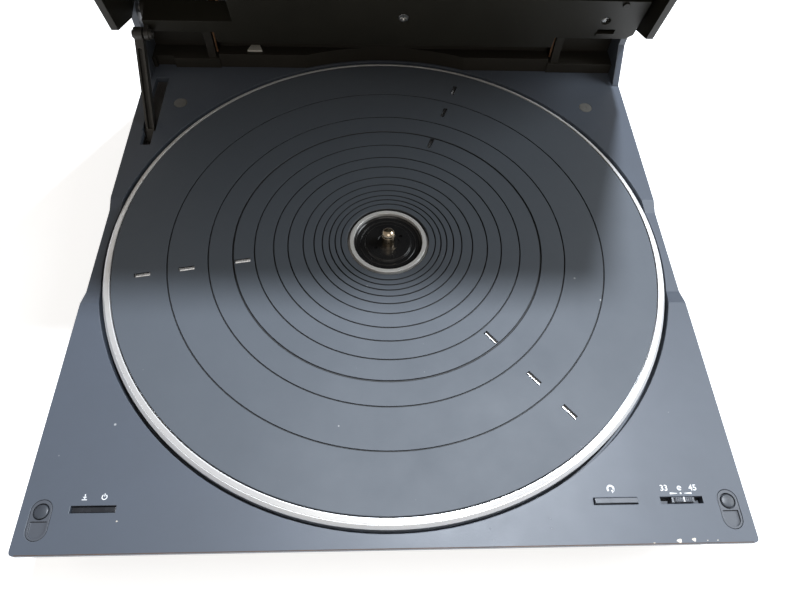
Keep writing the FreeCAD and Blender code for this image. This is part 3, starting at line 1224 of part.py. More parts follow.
def arm_motor():
    """Small motor standing in the housing, with its shaft up to the pulley."""
    can_top = PULLEY_Z[0] - MOTOR_DROP
    can = cyl(MOTOR_PULLEY_X, PULLEY_Y, (HOUSING_BOTTOM + HOUSING_T, can_top), MOTOR_R)
    collar = cyl(MOTOR_PULLEY_X, PULLEY_Y, (can_top - 0.2, PULLEY_Z[0] - COLLAR_DROP), MOTOR_COLLAR_R)
    shaft = cyl(MOTOR_PULLEY_X, PULLEY_Y, (can_top, PULLEY_Z[1] + SHAFT_OVER), PULLEY_BORE_R)
    return opened(joined([can, collar, shaft]))


def pulley(cx):
    """Flanged belt pulley with a running bore."""
    low, high = PULLEY_Z
    groove = (PULLEY_GROOVE_H / 2, -PULLEY_GROOVE_H / 2)
    mid = (low + high) / 2
    pieces = [cyl(cx, PULLEY_Y, PULLEY_Z, PULLEY_R - PULLEY_FLANGE),
              cyl(cx, PULLEY_Y, (low, mid + groove[1]), PULLEY_R),
              cyl(cx, PULLEY_Y, (mid + groove[0], high), PULLEY_R)]
    bore = cyl(cx, PULLEY_Y, (low - 1, high + 1), PULLEY_BORE_R + RUN_FIT)
    return opened(joined(pieces).cut(bore))


def belt_loop(r, z):
    """Straight-sided loop of radius r round both pulleys, filled."""
    straight = box((MOTOR_PULLEY_X, IDLER_X), (PULLEY_Y - r, PULLEY_Y + r), z)
    return joined([straight, cyl(MOTOR_PULLEY_X, PULLEY_Y, z, r), cyl(IDLER_X, PULLEY_Y, z, r)])


def drive_belt():
    """Flat belt round both pulleys."""
    mid = (PULLEY_Z[0] + PULLEY_Z[1]) / 2
    z = (mid - BELT_H / 2, mid + BELT_H / 2)
    inner_r = PULLEY_R - PULLEY_FLANGE + BELT_GAP
    return opened(belt_loop(inner_r + BELT_T, z).cut(belt_loop(inner_r, z)))


def housing_screws():
    """Cross-headed screw in the housing's floor."""
    low = HOUSING_BOTTOM + 0.1
    head = cyl(SCREW_X, SCREW_Y, (low, HOUSING_BOTTOM + HOUSING_SCREW_D), HOUSING_SCREW_R)
    return opened(head.cut(cross_slot(SCREW_X, SCREW_Y, HOUSING_CROSS_L, (low - 1, low + HOUSING_CROSS_D))))


def sensor_lens():
    """Metal-bodied sensor in the round hole of the housing's floor."""
    floor = HOUSING_BOTTOM + HOUSING_T
    body = cyl(LENS_X, LENS_Y, (floor, floor + LENS_BODY_H), LENS_BODY_R)
    eye = cyl(LENS_X + LENS_EYE[0], LENS_Y + LENS_EYE[1], (HOUSING_BOTTOM + 0.6, floor + 0.5), LENS_EYE_R)
    return opened(joined([body, eye]))


# ---------------------------------------------------------------- arm
def carriage():
    """Block on the two rods with a fork that holds the arm's pivot and a clamp beside the belt."""
    x0, x1 = CARRIAGE_X
    into = CARRIAGE_Z[0] + 1
    left = (ARM_X - FORK_GAP - FORK_T, ARM_X - FORK_GAP)
    right = (ARM_X + FORK_GAP, ARM_X + FORK_GAP + FORK_T)
    forks = [box(x, (PIVOT_Y - FORK_HALF_D, PIVOT_Y + FORK_HALF_D), (PIVOT_Z - FORK_DROP, into))
             for x in (left, right)]
    hanger_y = PULLEY_Y - PULLEY_R - HANGER_GAP
    hanger = box((x0 + HANGER_X[0], x0 + HANGER_X[1]), (hanger_y - HANGER_T, hanger_y), (HANGER_LOW, into))
    body = joined([box(CARRIAGE_X, CARRIAGE_Y, CARRIAGE_Z)] + forks + [hanger])
    cuts = [cyl_x((x0 - 1, x1 + 1), y, ROD_Z, ROD_R + RUN_FIT) for y in ROD_Y]
    cuts.append(cyl_x((left[0] - 1, right[1] + 1), PIVOT_Y, PIVOT_Z, PIVOT_R + RUN_FIT))
    return opened(body.cut(cuts))


def arm_tube():
    """Straight arm with a pivot shaft across it."""
    half = FORK_GAP + FORK_T
    tube = cyl_y((ARM_END_Y, PIVOT_Y + ARM_REAR), ARM_X, PIVOT_Z, ARM_TUBE_R)
    tube = tube.cut(cyl_y((ARM_END_Y - 1, PIVOT_Y - ARM_SOLID), ARM_X, PIVOT_Z, ARM_TUBE_R - ARM_TUBE_T))
    return opened(joined([tube, cyl_x((ARM_X - half, ARM_X + half), PIVOT_Y, PIVOT_Z, PIVOT_R)]))


def counterweight():
    """Weight on the rear end of the arm."""
    y = PIVOT_Y + ARM_REAR
    return opened(cyl_y((y, y + WEIGHT_L), ARM_X, PIVOT_Z, WEIGHT_R))


def headshell():
    """Tapered shell at the end of the arm."""
    half = HEADSHELL_HALF_W
    front, shoulder = HEADSHELL_Y
    end = ARM_END_Y + HEADSHELL_GRIP
    plan = [(ARM_X - half, front), (ARM_X + half, front), (ARM_X + half, shoulder),
            (ARM_X + HEADSHELL_NECK, end), (ARM_X - HEADSHELL_NECK, end), (ARM_X - half, shoulder)]
    top = PIVOT_Z + HEADSHELL_Z[1]
    body = prism_xy(plan, (CARTRIDGE_TOP, top))
    body = body.makeFillet(HEADSHELL_EDGE_R, [e for e in body.Edges if e.BoundBox.ZMin > top - 0.4])
    return opened(body.cut(cyl_y((ARM_END_Y, end + 1), ARM_X, PIVOT_Z, ARM_TUBE_R)))


def cartridge():
    """Plug-in pickup cartridge under the headshell."""
    front, rear = CARTRIDGE_Y
    outline = [(front, CARTRIDGE_TOP), (rear, CARTRIDGE_TOP), (rear, CARTRIDGE_TOP - CARTRIDGE_H[0]),
               (CARTRIDGE_STEP_Y, CARTRIDGE_FOOT), (front, CARTRIDGE_FOOT)]
    return opened(prism_yz(outline, (ARM_X - CARTRIDGE_HALF_W, ARM_X + CARTRIDGE_HALF_W)))


def stylus():
    """Stylus holder with its thin cantilever and tip."""
    foot = CARTRIDGE_FOOT
    holder = prism_yz([(y, foot + dz) for y, dz in HOLDER_OUTLINE],
                      (ARM_X - HOLDER_HALF_W, ARM_X + HOLDER_HALF_W))
    rod_end = V(ARM_X, CANTILEVER_FROM[0], foot + CANTILEVER_FROM[1])
    rod = Part.makeCylinder(CANTILEVER_R, CANTILEVER_L, rod_end, V(0, *CANTILEVER_RUN))
    cone_top = foot - TIP_UP
    tip = Part.makeCone(*TIP_CONE_R, cone_top + 0.4 - STYLUS_TIP_Z, V(ARM_X, TIP_Y, cone_top), V(0, 0, -1))
    return opened(joined([holder, rod, tip]))


def main():
    """Build and write every node."""
    os.makedirs("parts", exist_ok=True)
    nodes = {
        "deck": deck, "bottom_tray": bottom_tray, "case_screws": case_screws, "feet": feet,
        "deck_plugs": deck_plugs, "insert_pads": insert_pads, "rear_block": rear_block,
        "hinge_pins": hinge_pins, "lid_springs": lid_springs, "lid_sensor": lid_sensor,
        "stator_board": stator_board, "stator_coils": stator_coils, "bearing_housing": bearing_housing,
        "mains_inlet": mains_inlet, "phono_sockets": phono_sockets, "earth_terminal": earth_terminal,
        "transformer_core": transformer_core, "transformer_coil": transformer_coil,
        "main_board": main_board, "board_parts": board_parts, "heat_sink": heat_sink,
        "switch_bodies": switch_bodies, "power_button": power_button, "repeat_button": repeat_button,
        "speed_slider": speed_slider, "platter": platter, "platter_mat": platter_mat,
        "size_windows": size_windows, "hub_ring": hub_ring, "centre_disc": centre_disc,
        "spindle": spindle, "rotor_magnet": rotor_magnet, "lid_stay": lid_stay,
        "stay_bracket": stay_bracket, "stay_guide": stay_guide, "stay_screw": stay_screw,
        "lid_shell": lid_shell, "control_board": control_board, "arm_housing": arm_housing,
        "guide_rods": guide_rods, "arm_motor": arm_motor, "drive_belt": drive_belt,
        "housing_screws": housing_screws, "sensor_lens": sensor_lens, "carriage": carriage,
        "arm_tube": arm_tube, "counterweight": counterweight, "headshell": headshell,
        "cartridge": cartridge, "stylus": stylus,
    }
    for name, make in nodes.items():
        save(name, make())
    save("corner_inserts", group([corner_insert(-1), corner_insert(1)]))
    save("cheek_left", cheek(-1))
    save("cheek_right", cheek(1))
    save("motor_pulley", pulley(MOTOR_PULLEY_X))
    save("idler_pulley", pulley(IDLER_X))
    for name, cx, width in LID_BUTTONS:
        save(name, lid_button(cx, width))


main()
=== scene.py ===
"""Looks of the compact record player: finishes for the CAD nodes, finer pieces in place of the plain
ones, printed marks, soft studio light, a pale floor and the camera. Lengths are in millimetres in the
shape functions and become metres in as_mesh(). Z is up, the front is -Y, the origin is on the spindle."""

import math

import bmesh
import bpy
import numpy as np
from mathutils import Matrix, Vector


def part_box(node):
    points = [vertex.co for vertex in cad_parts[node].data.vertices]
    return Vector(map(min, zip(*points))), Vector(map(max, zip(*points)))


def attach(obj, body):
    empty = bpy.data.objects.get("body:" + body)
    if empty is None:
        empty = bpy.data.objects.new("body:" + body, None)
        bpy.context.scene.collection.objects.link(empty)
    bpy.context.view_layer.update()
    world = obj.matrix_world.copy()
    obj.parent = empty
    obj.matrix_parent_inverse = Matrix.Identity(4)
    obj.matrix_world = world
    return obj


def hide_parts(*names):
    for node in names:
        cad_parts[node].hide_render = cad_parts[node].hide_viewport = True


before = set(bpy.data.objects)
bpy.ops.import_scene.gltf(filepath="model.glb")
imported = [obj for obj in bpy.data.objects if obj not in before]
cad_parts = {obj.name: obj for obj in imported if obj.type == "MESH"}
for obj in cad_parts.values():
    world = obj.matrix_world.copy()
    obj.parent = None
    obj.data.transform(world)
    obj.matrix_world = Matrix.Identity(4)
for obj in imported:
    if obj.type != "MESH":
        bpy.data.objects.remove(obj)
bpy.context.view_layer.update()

MM = 0.001

# ---------------------------------------------------------------- sizes repeated from the design
DECK_TOP = -2.0
FLOOR_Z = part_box("feet")[0].z

SHAFT_R = 3.0
RIM_INNER_R = 149.6
RIM_MID_R = 152.1
RIM_MID_DROP = 1.2
RIM_DROP = 3.0
RIM_LINE = 0.15
RIM_BOTTOM = -9.0
PLATTER_R = 154.0
MAT_T = 3.0
MAT_R = 149.1
MAT_HOLE_R = 22.6
MAT_GROOVES = (26.4, 29.6, 32.9, 36.7, 41.3, 47.3, 55.6, 63.4, 73.8, 85.4, 98.6, 120.2)
BOLD_GROOVE = 85.4
GROOVE_W = 0.8
BOLD_GROOVE_W = 1.2
GROOVE_D = 0.6
WINDOW_RADII = (80.4, 110.0, 133.0)
WINDOW_ANGLES = (70.0, 190.0, 310.0)
WINDOW_L = 8.4
WINDOW_W = 2.5
HUB_RING_R = 21.4
HUB_RING_IN_R = 19.25
CENTRE_DISC_R = 19.0
CENTRE_STEP_R = 12.7
CENTRE_LEDGE = -2.3
CENTRE_TOP = -1.3
CENTRE_HOLE = (7.0, 4.0)
SPINDLE_R = 3.57
SPINDLE_TOP = 9.0
SHAFT_BOTTOM = -28.0

HINGE_Y = 156.0
HINGE_Z = 35.0
SPRING_WIRE_R = 0.75
SPRING_R = 5.4
SPRING_INNER_X = 106.6
SPRING_TURNS = 3.6
SPRING_FOOT_Z = 8.2

CONTROL_Y = -143.45
KEY_HALF_D = 1.2
KEY_STEM_HALF_W = 5.0
POWER_HALF_W = 9.4
REPEAT_HALF_W = 9.7
KEY_FLANGE = (-11.5, -9.9)     # heights of a key's flange
KNOB_HALF_W = 5.2
KNOB_PLATE = (-8.0, -5.9)      # heights of the slider's plate
KNOB_PLATE_HALF_W = 9.0
RIB_PLACES = (-3.6, -2.7, -1.8, -0.9, 0.9, 1.8, 2.7, 3.6)

CAMERA_LENS = 27.63
CAMERA_SENSOR = 36.0
CAMERA_PLACE = (-0.00804, -0.20719, 0.27591)
CAMERA_RIGHT = (0.9991, -0.0235, 0.0354)
CAMERA_FORWARD = (0.0425, 0.5198, -0.8532)
FLOOR_HALF = 4.0
SURROUND_COLOUR = (1.0, 0.91, 0.80, 1.0)
SURROUND_STRENGTH = 0.26


# ---------------------------------------------------------------- surfaces
def grid_faces(rows, columns, wrap_rows, wrap_columns):
    """Quads between neighbours in a grid of points that are numbered row by row."""
    r = np.arange(rows if wrap_rows else rows - 1)[:, None]
    c = np.arange(columns if wrap_columns else columns - 1)[None, :]
    r1 = (r + 1) % rows
    c1 = (c + 1) % columns
    corners = [r * columns + c, r * columns + c1, r1 * columns + c1, r1 * columns + c]
    return np.stack(corners, axis=-1).reshape(-1, 4).tolist()


def softened(outline, radius, steps=4, closed=True):
    """Outline whose corners are parabolic arcs: at share s an arc is (1-s)^2 a + 2s(1-s) p + s^2 b, where
    p is the corner and a and b lie on its two sides, radius away or 0.45 of the side."""
    p = np.array(outline, float)

    def reach(neighbour):
        side = neighbour - p
        length = np.maximum(np.linalg.norm(side, axis=1, keepdims=True), 1e-9)
        return p + side / length * np.minimum(radius, 0.45 * length)

    a = reach(np.roll(p, 1, 0))
    b = reach(np.roll(p, -1, 0))
    s = np.linspace(0, 1, steps + 1)[:, None, None]
    arcs = ((1 - s) ** 2 * a + 2 * s * (1 - s) * p + s ** 2 * b).transpose(1, 0, 2)
    if closed:
        return arcs.reshape(-1, 2)
    return np.concatenate([p[:1], arcs[1:-1].reshape(-1, 2), p[-1:]])


def turned(profile, steps=192, centre=(0.0, 0.0)):
    """Surface of revolution: the profile's point (r, z) at angle a is (r cos a, r sin a, z). A profile that
    starts off the axis is a closed ring; one that starts on it ends on it too."""
    r, z = np.array(profile, float).T
    a = np.linspace(0, 2 * math.pi, steps, endpoint=False)
    points = np.stack([r[:, None] * np.cos(a) + centre[0], r[:, None] * np.sin(a) + centre[1],
                       z[:, None] + 0 * a], axis=-1)
    return points.reshape(-1, 3), grid_faces(len(r), steps, profile[0][0] > 1e-6, True)


def rounded_loop(half_x, half_y, corner, steps=5):
    """Loop round a rectangle with quarter circles of radius corner at its four corners."""
    a = np.linspace(0, math.pi / 2, steps + 1)
    quarters = []
    for turn, (sx, sy) in enumerate(((1, 1), (-1, 1), (-1, -1), (1, -1))):
        angle = a + turn * math.pi / 2
        quarters.append(np.stack([sx * (half_x - corner) + corner * np.cos(angle),
                                  sy * (half_y - corner) + corner * np.sin(angle)], axis=-1))
    return np.concatenate(quarters)


def lofted(loops):
    """Closed shell through loops of equally many points, with a flat face at each end."""
    count = len(loops[0])
    faces = grid_faces(len(loops), count, False, True)
    faces.append(list(range(count))[::-1])
    faces.append(list(range((len(loops) - 1) * count, len(loops) * count)))
    return np.concatenate(loops), faces


def slab(centre, half_x, half_y, corner, section):
    """Rounded rectangle carried up a section of (inset along X, inset along Y, z) points."""
    loops = []
    for inset_x, inset_y, z in section:
        hx = half_x - inset_x
        hy = half_y - inset_y
        r = min(max(corner - max(inset_x, inset_y), 0.08), hx * 0.98, hy * 0.98)
        loop = rounded_loop(hx, hy, r) + centre
        loops.append(np.column_stack([loop, np.full(len(loop), z)]))
    return lofted(loops)


def round_top(z, radius, low_x=0.0, low_y=0.0, steps=4):
    """Quarter round section at the upper edge of a slab: inset r(1 - cos a) at height z - r(1 - sin a)."""
    a = np.linspace(0, math.pi / 2, steps + 1)
    inset = radius * (1 - np.cos(a))
    return [(low_x + i, low_y + i, h) for i, h in zip(inset, z - radius * (1 - np.sin(a)))]


def prism(outline, z0, z1):
    """Outline of (x, y) points carried straight up from z0 to z1."""
    loop = np.array(outline, float)
    return lofted([np.column_stack([loop, np.full(len(loop), z)]) for z in (z0, z1)])


def tube(path, guide, radius, sides=12):
    """Round section carried along a path: point + radius (n cos a + m sin a), where n is the guide made
    square to the path's direction t, and m is t x n."""
    t = np.gradient(path, axis=0)
    t /= np.linalg.norm(t, axis=1, keepdims=True)
    n = guide - (guide * t).sum(1, keepdims=True) * t
    n /= np.linalg.norm(n, axis=1, keepdims=True)
    m = np.cross(t, n)
    a = np.linspace(0, 2 * math.pi, sides, endpoint=False)[None, :, None]
    rings = path[:, None] + radius * (n[:, None] * np.cos(a) + m[:, None] * np.sin(a))
    return lofted(list(rings))


def together(shapes):
    """Several (points, faces) shapes as one."""
    points = []
    faces = []
    count = 0
    for p, f in shapes:
        faces += [[corner + count for corner in face] for face in f]
        points.append(p)
        count += len(p)
    return np.concatenate(points), faces


def spun(shape, degrees):
    """The shape turned about Z."""
    a = math.radians(degrees)
    turn = np.array([[math.cos(a), -math.sin(a), 0], [math.sin(a), math.cos(a), 0], [0, 0, 1]])
    return shape[0] @ turn.T, shape[1]


# ---------------------------------------------------------------- pieces
def as_mesh(name, shape):
    """Mesh in metres from points in millimetres, with doubles merged and faces turned outwards."""
    mesh = bpy.data.meshes.new(name)
    mesh.from_pydata((shape[0] * MM).tolist(), [], shape[1])
    tidy = bmesh.new()
    tidy.from_mesh(mesh)
    bmesh.ops.remove_doubles(tidy, verts=tidy.verts, dist=2e-6)
    bmesh.ops.recalc_face_normals(tidy, faces=tidy.faces)
    tidy.to_mesh(mesh)
    tidy.free()
    return mesh


def carved(name, shape, cutters):
    """The shape's mesh with closed cutter shapes taken out of it."""
    scene = bpy.context.scene
    body = bpy.data.objects.new(name, as_mesh(name, shape))
    knife = bpy.data.objects.new(name + "_knife", as_mesh(name + "_knife", together(cutters)))
    scene.collection.objects.link(body)
    scene.collection.objects.link(knife)
    cut = body.modifiers.new("cut", "BOOLEAN")
    cut.operation = "DIFFERENCE"
    cut.solver = "EXACT"
    cut.object = knife
    mesh = bpy.data.meshes.new_from_object(body.evaluated_get(bpy.context.evaluated_depsgraph_get()))
    bpy.data.objects.remove(body)
    bpy.data.objects.remove(knife)
    return mesh


def piece(name, shape, material, body, replaced=(), sharp=32.0):
    """Smooth-shaded object that rides on a body; shape is a mesh or (points, faces)."""
    mesh = shape if isinstance(shape, bpy.types.Mesh) else as_mesh(name, shape)
    mesh.materials.clear()
    mesh.materials.append(material)
    mesh.shade_smooth()
    mesh.set_sharp_from_angle(angle=math.radians(sharp))
    obj = bpy.data.objects.new(name, mesh)
    bpy.context.scene.collection.objects.link(obj)
    even = obj.modifiers.new("even_normals", "WEIGHTED_NORMAL")
    even.keep_sharp = True
    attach(obj, body)
    if replaced:
        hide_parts(*replaced)
    return obj


# ---------------------------------------------------------------- shader groups
def new_group(name, inputs, outputs):
    """Empty shader group with named float, vector or colour sockets; returns it with its two end nodes."""
    group = bpy.data.node_groups.new(name, "ShaderNodeTree")
    kinds = {"value": "NodeSocketFloat", "vector": "NodeSocketVector", "colour": "NodeSocketColor"}
    for socket, kind, default in inputs:
        made = group.interface.new_socket(socket, in_out="INPUT", socket_type=kinds[kind])
        if default is not None:
            made.default_value = default
    for socket, kind in outputs:
        group.interface.new_socket(socket, in_out="OUTPUT", socket_type=kinds[kind])
    return group, group.nodes.new("NodeGroupInput"), group.nodes.new("NodeGroupOutput")


def maths(tree, operation, a, b=None):
    """Math node on two sockets or numbers; returns its output."""
    node = tree.nodes.new("ShaderNodeMath")
    node.operation = operation
    for place, value in enumerate((a, b)):
        if isinstance(value, bpy.types.NodeSocket):
            tree.links.new(value, node.inputs[place])
        elif value is not None:
            node.inputs[place].default_value = value
    return node.outputs[0]


def ramp(tree, value, low, high):
    """Straight ramp of a value from 0 at low to 1 at high, held at both ends."""
    node = tree.nodes.new("ShaderNodeMapRange")
    node.inputs["From Min"].default_value = low
    node.inputs["From Max"].default_value = high
    tree.links.new(value, node.inputs["Value"])
    return node.outputs["Result"]


def noise(tree, vector, scale, detail=3.0, roughness=0.55):
    """Noise texture of features 1/scale metres across; returns its value."""
    node = tree.nodes.new("ShaderNodeTexNoise")
    tree.links.new(vector, node.inputs["Vector"])
    if isinstance(scale, bpy.types.NodeSocket):
        tree.links.new(scale, node.inputs["Scale"])
    else:
        node.inputs["Scale"].default_value = scale
    node.inputs["Detail"].default_value = detail
    node.inputs["Roughness"].default_value = roughness
    return node.outputs[0]


def grain_group():
    """Fine moulded or sprayed texture: noise with small rounded cells over it."""
    group, start, end = new_group("fine_grain", [("Vector", "vector", None), ("Scale", "value", 1500.0)],
                                  [("Height", "value")])
    cells = group.nodes.new("ShaderNodeTexVoronoi")
    cells.feature = "SMOOTH_F1"
    group.links.new(start.outputs["Vector"], cells.inputs["Vector"])
    group.links.new(start.outputs["Scale"], cells.inputs["Scale"])
    fine = noise(group, start.outputs["Vector"], start.outputs["Scale"])
    height = maths(group, "ADD", maths(group, "MULTIPLY", cells.outputs["Distance"], 0.6), fine)
    group.links.new(height, end.inputs["Height"])
    return group


def smudge_group():
    """Broad soft patches, and finer ones over them, from 0 to 1."""
    group, start, end = new_group("soft_patches", [("Vector", "vector", None), ("Scale", "value", 12.0)],
                                  [("Mask", "value")])
    broad = noise(group, start.outputs["Vector"], start.outputs["Scale"], 2.0)
    fine_scale = maths(group, "MULTIPLY", start.outputs["Scale"], 6.0)
    fine = noise(group, start.outputs["Vector"], fine_scale, 4.0, 0.65)
    mixed = maths(group, "ADD", maths(group, "MULTIPLY", broad, 0.65), maths(group, "MULTIPLY", fine, 0.35))
    group.links.new(ramp(group, mixed, 0.34, 0.66), end.inputs["Mask"])
    return group


def speck_group():
    """Small separate specks: cells picked at random by Share, each a ball of Size cells about its centre."""
    group, start, end = new_group(
        "dust_specks", [("Vector", "vector", None), ("Scale", "value", 90.0), ("Share", "value", 0.2),
                        ("Size", "value", 0.08)], [("Mask", "value")])
    cells = group.nodes.new("ShaderNodeTexVoronoi")
    group.links.new(start.outputs["Vector"], cells.inputs["Vector"])
    group.links.new(start.outputs["Scale"], cells.inputs["Scale"])
    split = group.nodes.new("ShaderNodeSeparateColor")
    group.links.new(cells.outputs["Color"], split.inputs["Color"])
    picked = maths(group, "LESS_THAN", split.outputs["Red"], start.outputs["Share"])
    reach = maths(group, "MULTIPLY", start.outputs["Size"], maths(group, "ADD", split.outputs["Green"], 0.35))
    depth = maths(group, "SUBTRACT", reach, cells.outputs["Distance"])
    inside = maths(group, "DIVIDE", depth, maths(group, "MULTIPLY", reach, 0.5))
    node = group.nodes.new("ShaderNodeClamp")
    group.links.new(maths(group, "MULTIPLY", inside, picked), node.inputs["Value"])
    group.links.new(node.outputs["Result"], end.inputs["Mask"])
    return group


def edge_group():
    """Rounded-off normals near edges within Radius, and a mask of the edges broken up by noise."""
    group, start, end = new_group(
        "edge_wear", [("Vector", "vector", None), ("Radius", "value", 0.0004), ("Breakup", "value", 120.0)],
        [("Mask", "value"), ("Normal", "vector")])
    soft = group.nodes.new("ShaderNodeBevel")
    soft.samples = 6
    group.links.new(start.outputs["Radius"], soft.inputs["Radius"])
    flat = group.nodes.new("ShaderNodeNewGeometry")
    same = group.nodes.new("ShaderNodeVectorMath")
    same.operation = "DOT_PRODUCT"
    group.links.new(soft.outputs["Normal"], same.inputs[0])
    group.links.new(flat.outputs["Normal"], same.inputs[1])
    edge = ramp(group, same.outputs["Value"], 0.985, 0.86)
    cloud = noise(group, start.outputs["Vector"], start.outputs["Breakup"], 5.0, 0.7)
    patches = ramp(group, cloud, 0.42, 0.6)
    group.links.new(maths(group, "MULTIPLY", edge, patches), end.inputs["Mask"])
    group.links.new(soft.outputs["Normal"], end.inputs["Normal"])
    return group


def ring_group():
    """Concentric turning marks about Z: noise that depends only on the distance from the axis."""
    group, start, end = new_group("turning_marks", [("Vector", "vector", None), ("Scale", "value", 4000.0)],
                                  [("Height", "value")])
    flat = group.nodes.new("ShaderNodeVectorMath")
    flat.operation = "MULTIPLY"
    flat.inputs[1].default_value = (1.0, 1.0, 0.0)
    group.links.new(start.outputs["Vector"], flat.inputs[0])
    away = group.nodes.new("ShaderNodeVectorMath")
    away.operation = "LENGTH"
    group.links.new(flat.outputs["Vector"], away.inputs[0])
    lines = group.nodes.new("ShaderNodeTexNoise")
    lines.noise_dimensions = "1D"
    lines.inputs["Scale"].default_value = 1.0
    lines.inputs["Detail"].default_value = 2.0
    along = maths(group, "MULTIPLY", away.outputs["Value"], start.outputs["Scale"])
    group.links.new(along, lines.inputs["W"])
    group.links.new(lines.outputs[0], end.inputs["Height"])
    return group


def brushed_group():
    """Straight grinding marks along X: noise drawn out by Stretch."""
    group, start, end = new_group("grinding_marks", [("Vector", "vector", None), ("Scale", "value", 3000.0)],
                                  [("Height", "value")])
    drawn = group.nodes.new("ShaderNodeVectorMath")
    drawn.operation = "MULTIPLY"
    drawn.inputs[1].default_value = (0.02, 1.0, 1.0)
    group.links.new(start.outputs["Vector"], drawn.inputs[0])
    group.links.new(noise(group, drawn.outputs["Vector"], start.outputs["Scale"], 2.0), end.inputs["Height"])
    return group


GRAIN = grain_group()
SMUDGE = smudge_group()
SPECKS = speck_group()
EDGES = edge_group()
RINGS = ring_group()
BRUSHED = brushed_group()


# ---------------------------------------------------------------- finishes
class Finish:
    """A material being built: layers change its colour and roughness, and bumps add to its normal."""

    def __init__(self, name, colour, roughness, metallic=0.0):
        self.material = bpy.data.materials.new(name)
        self.material.use_nodes = True
        self.tree = self.material.node_tree
        self.shader = self.tree.nodes["Principled BSDF"]
        self.shader.inputs["Metallic"].default_value = metallic
        self.place = self.tree.nodes.new("ShaderNodeTexCoord").outputs["Object"]
        self.colour = colour
        self.roughness = roughness
        self.normal = None

    def feed(self, socket, value):
        """Sets or links one input; a colour of three numbers gets an alpha of one."""
        if isinstance(value, bpy.types.NodeSocket):
            self.tree.links.new(value, socket)
        else:
            socket.default_value = (*value, 1.0) if isinstance(value, tuple) else value

    def effect(self, group, **values):
        """A shader group on the piece's own coordinates; returns its outputs."""
        node = self.tree.nodes.new("ShaderNodeGroup")
        node.node_tree = group
        self.tree.links.new(self.place, node.inputs["Vector"])
        for name, value in values.items():
            self.feed(node.inputs[name], value)
        return node.outputs

    def tint(self, mask, colour, amount=1.0):
        """Mixes the colour towards another one where the mask is."""
        node = self.tree.nodes.new("ShaderNodeMix")
        node.data_type = "RGBA"
        self.feed(node.inputs[0], maths(self.tree, "MULTIPLY", mask, amount))
        self.feed(node.inputs[6], self.colour)
        self.feed(node.inputs[7], colour)
        self.colour = node.outputs[2]

    def roughen(self, mask, change):
        """Adds change to the roughness where the mask is."""
        self.roughness = maths(self.tree, "ADD", maths(self.tree, "MULTIPLY", mask, change), self.roughness)

    def bump(self, height, depth):
        """Raises the surface by height times depth metres."""
        node = self.tree.nodes.new("ShaderNodeBump")
        node.inputs["Distance"].default_value = depth
        self.feed(node.inputs["Height"], height)
        if self.normal is not None:
            self.feed(node.inputs["Normal"], self.normal)
        self.normal = node.outputs["Normal"]

    def patches(self, darker, scale=12.0, change=0.08):
        """Soft uneven tone and gloss."""
        mask = self.effect(SMUDGE, Scale=scale)["Mask"]
        self.tint(mask, darker)
        self.roughen(mask, change)

    def edges(self, colour, radius=0.0004, amount=0.6, breakup=120.0):
        """Rounded edges that catch the light, worn in patches."""
        found = self.effect(EDGES, Radius=radius, Breakup=breakup)
        self.normal = found["Normal"]
        self.tint(found["Mask"], colour, amount)

    def dust(self, colour, scale=90.0, share=0.2, size=0.08, amount=0.8):
        """Pale specks lying on the surface."""
        mask = self.effect(SPECKS, Scale=scale, Share=share, Size=size)["Mask"]
        self.tint(mask, colour, amount)
        self.roughen(mask, 0.3)

    def grain(self, scale, depth):
        """Fine surface texture."""
        self.bump(self.effect(GRAIN, Scale=scale)["Height"], depth)

    def done(self):
        """Links the layers to the shader."""
        self.feed(self.shader.inputs["Base Color"], self.colour)
        self.feed(self.shader.inputs["Roughness"], self.roughness)
        if self.normal is not None:
            self.feed(self.shader.inputs["Normal"], self.normal)
        return self.material


def deck_paint():
    """Satin blue-grey paint on the casting, worn and chipped at its edges, with a little dust."""
    f = Finish("deck_paint", (0.079, 0.093, 0.119), 0.40)
    f.edges((0.30, 0.30, 0.31), radius=0.0005, amount=0.55, breakup=90.0)
    f.patches((0.068, 0.080, 0.101), scale=9.0, change=0.07)
    f.dust((0.42, 0.43, 0.44), scale=70.0, share=0.10, size=0.055)
    f.dust((0.30, 0.31, 0.33), scale=260.0, share=0.05, size=0.09, amount=0.5)
    f.grain(2600.0, 0.000018)
    return f.done()


def mat_rubber():
    """Matt blue-grey rubber with fine turning marks, painted shade in the grooves, slightly dusty."""
    f = Finish("mat_rubber", (0.080, 0.093, 0.112), 0.52)
    f.patches((0.070, 0.082, 0.100), scale=8.0, change=0.08)
    f.dust((0.40, 0.41, 0.42), scale=80.0, share=0.10, size=0.055)
    f.dust((0.28, 0.30, 0.32), scale=300.0, share=0.05, size=0.09, amount=0.5)
    # painted shade: the colour darkens with depth below the mat's top, down into the grooves
    height = f.tree.nodes.new("ShaderNodeSeparateXYZ")
    f.tree.links.new(f.place, height.inputs[0])
    f.tint(ramp(f.tree, height.outputs["Z"], -0.00008, -0.0003), (0.006, 0.007, 0.009))
    f.bump(f.effect(RINGS, Scale=2600.0)["Height"], 0.000012)
    f.grain(3200.0, 0.000014)
    return f.done()


def case_black():
    """Spark-eroded black moulding."""
    f = Finish("case_black", (0.020, 0.018, 0.014), 0.52)
    f.shader.inputs["Specular IOR Level"].default_value = 0.35
    f.edges((0.07, 0.065, 0.055), radius=0.0004, amount=0.4)
    f.patches((0.026, 0.023, 0.018), scale=16.0, change=0.06)
    f.dust((0.14, 0.14, 0.13), scale=110.0, share=0.07, size=0.06, amount=0.6)
    f.grain(1700.0, 0.00003)
    return f.done()


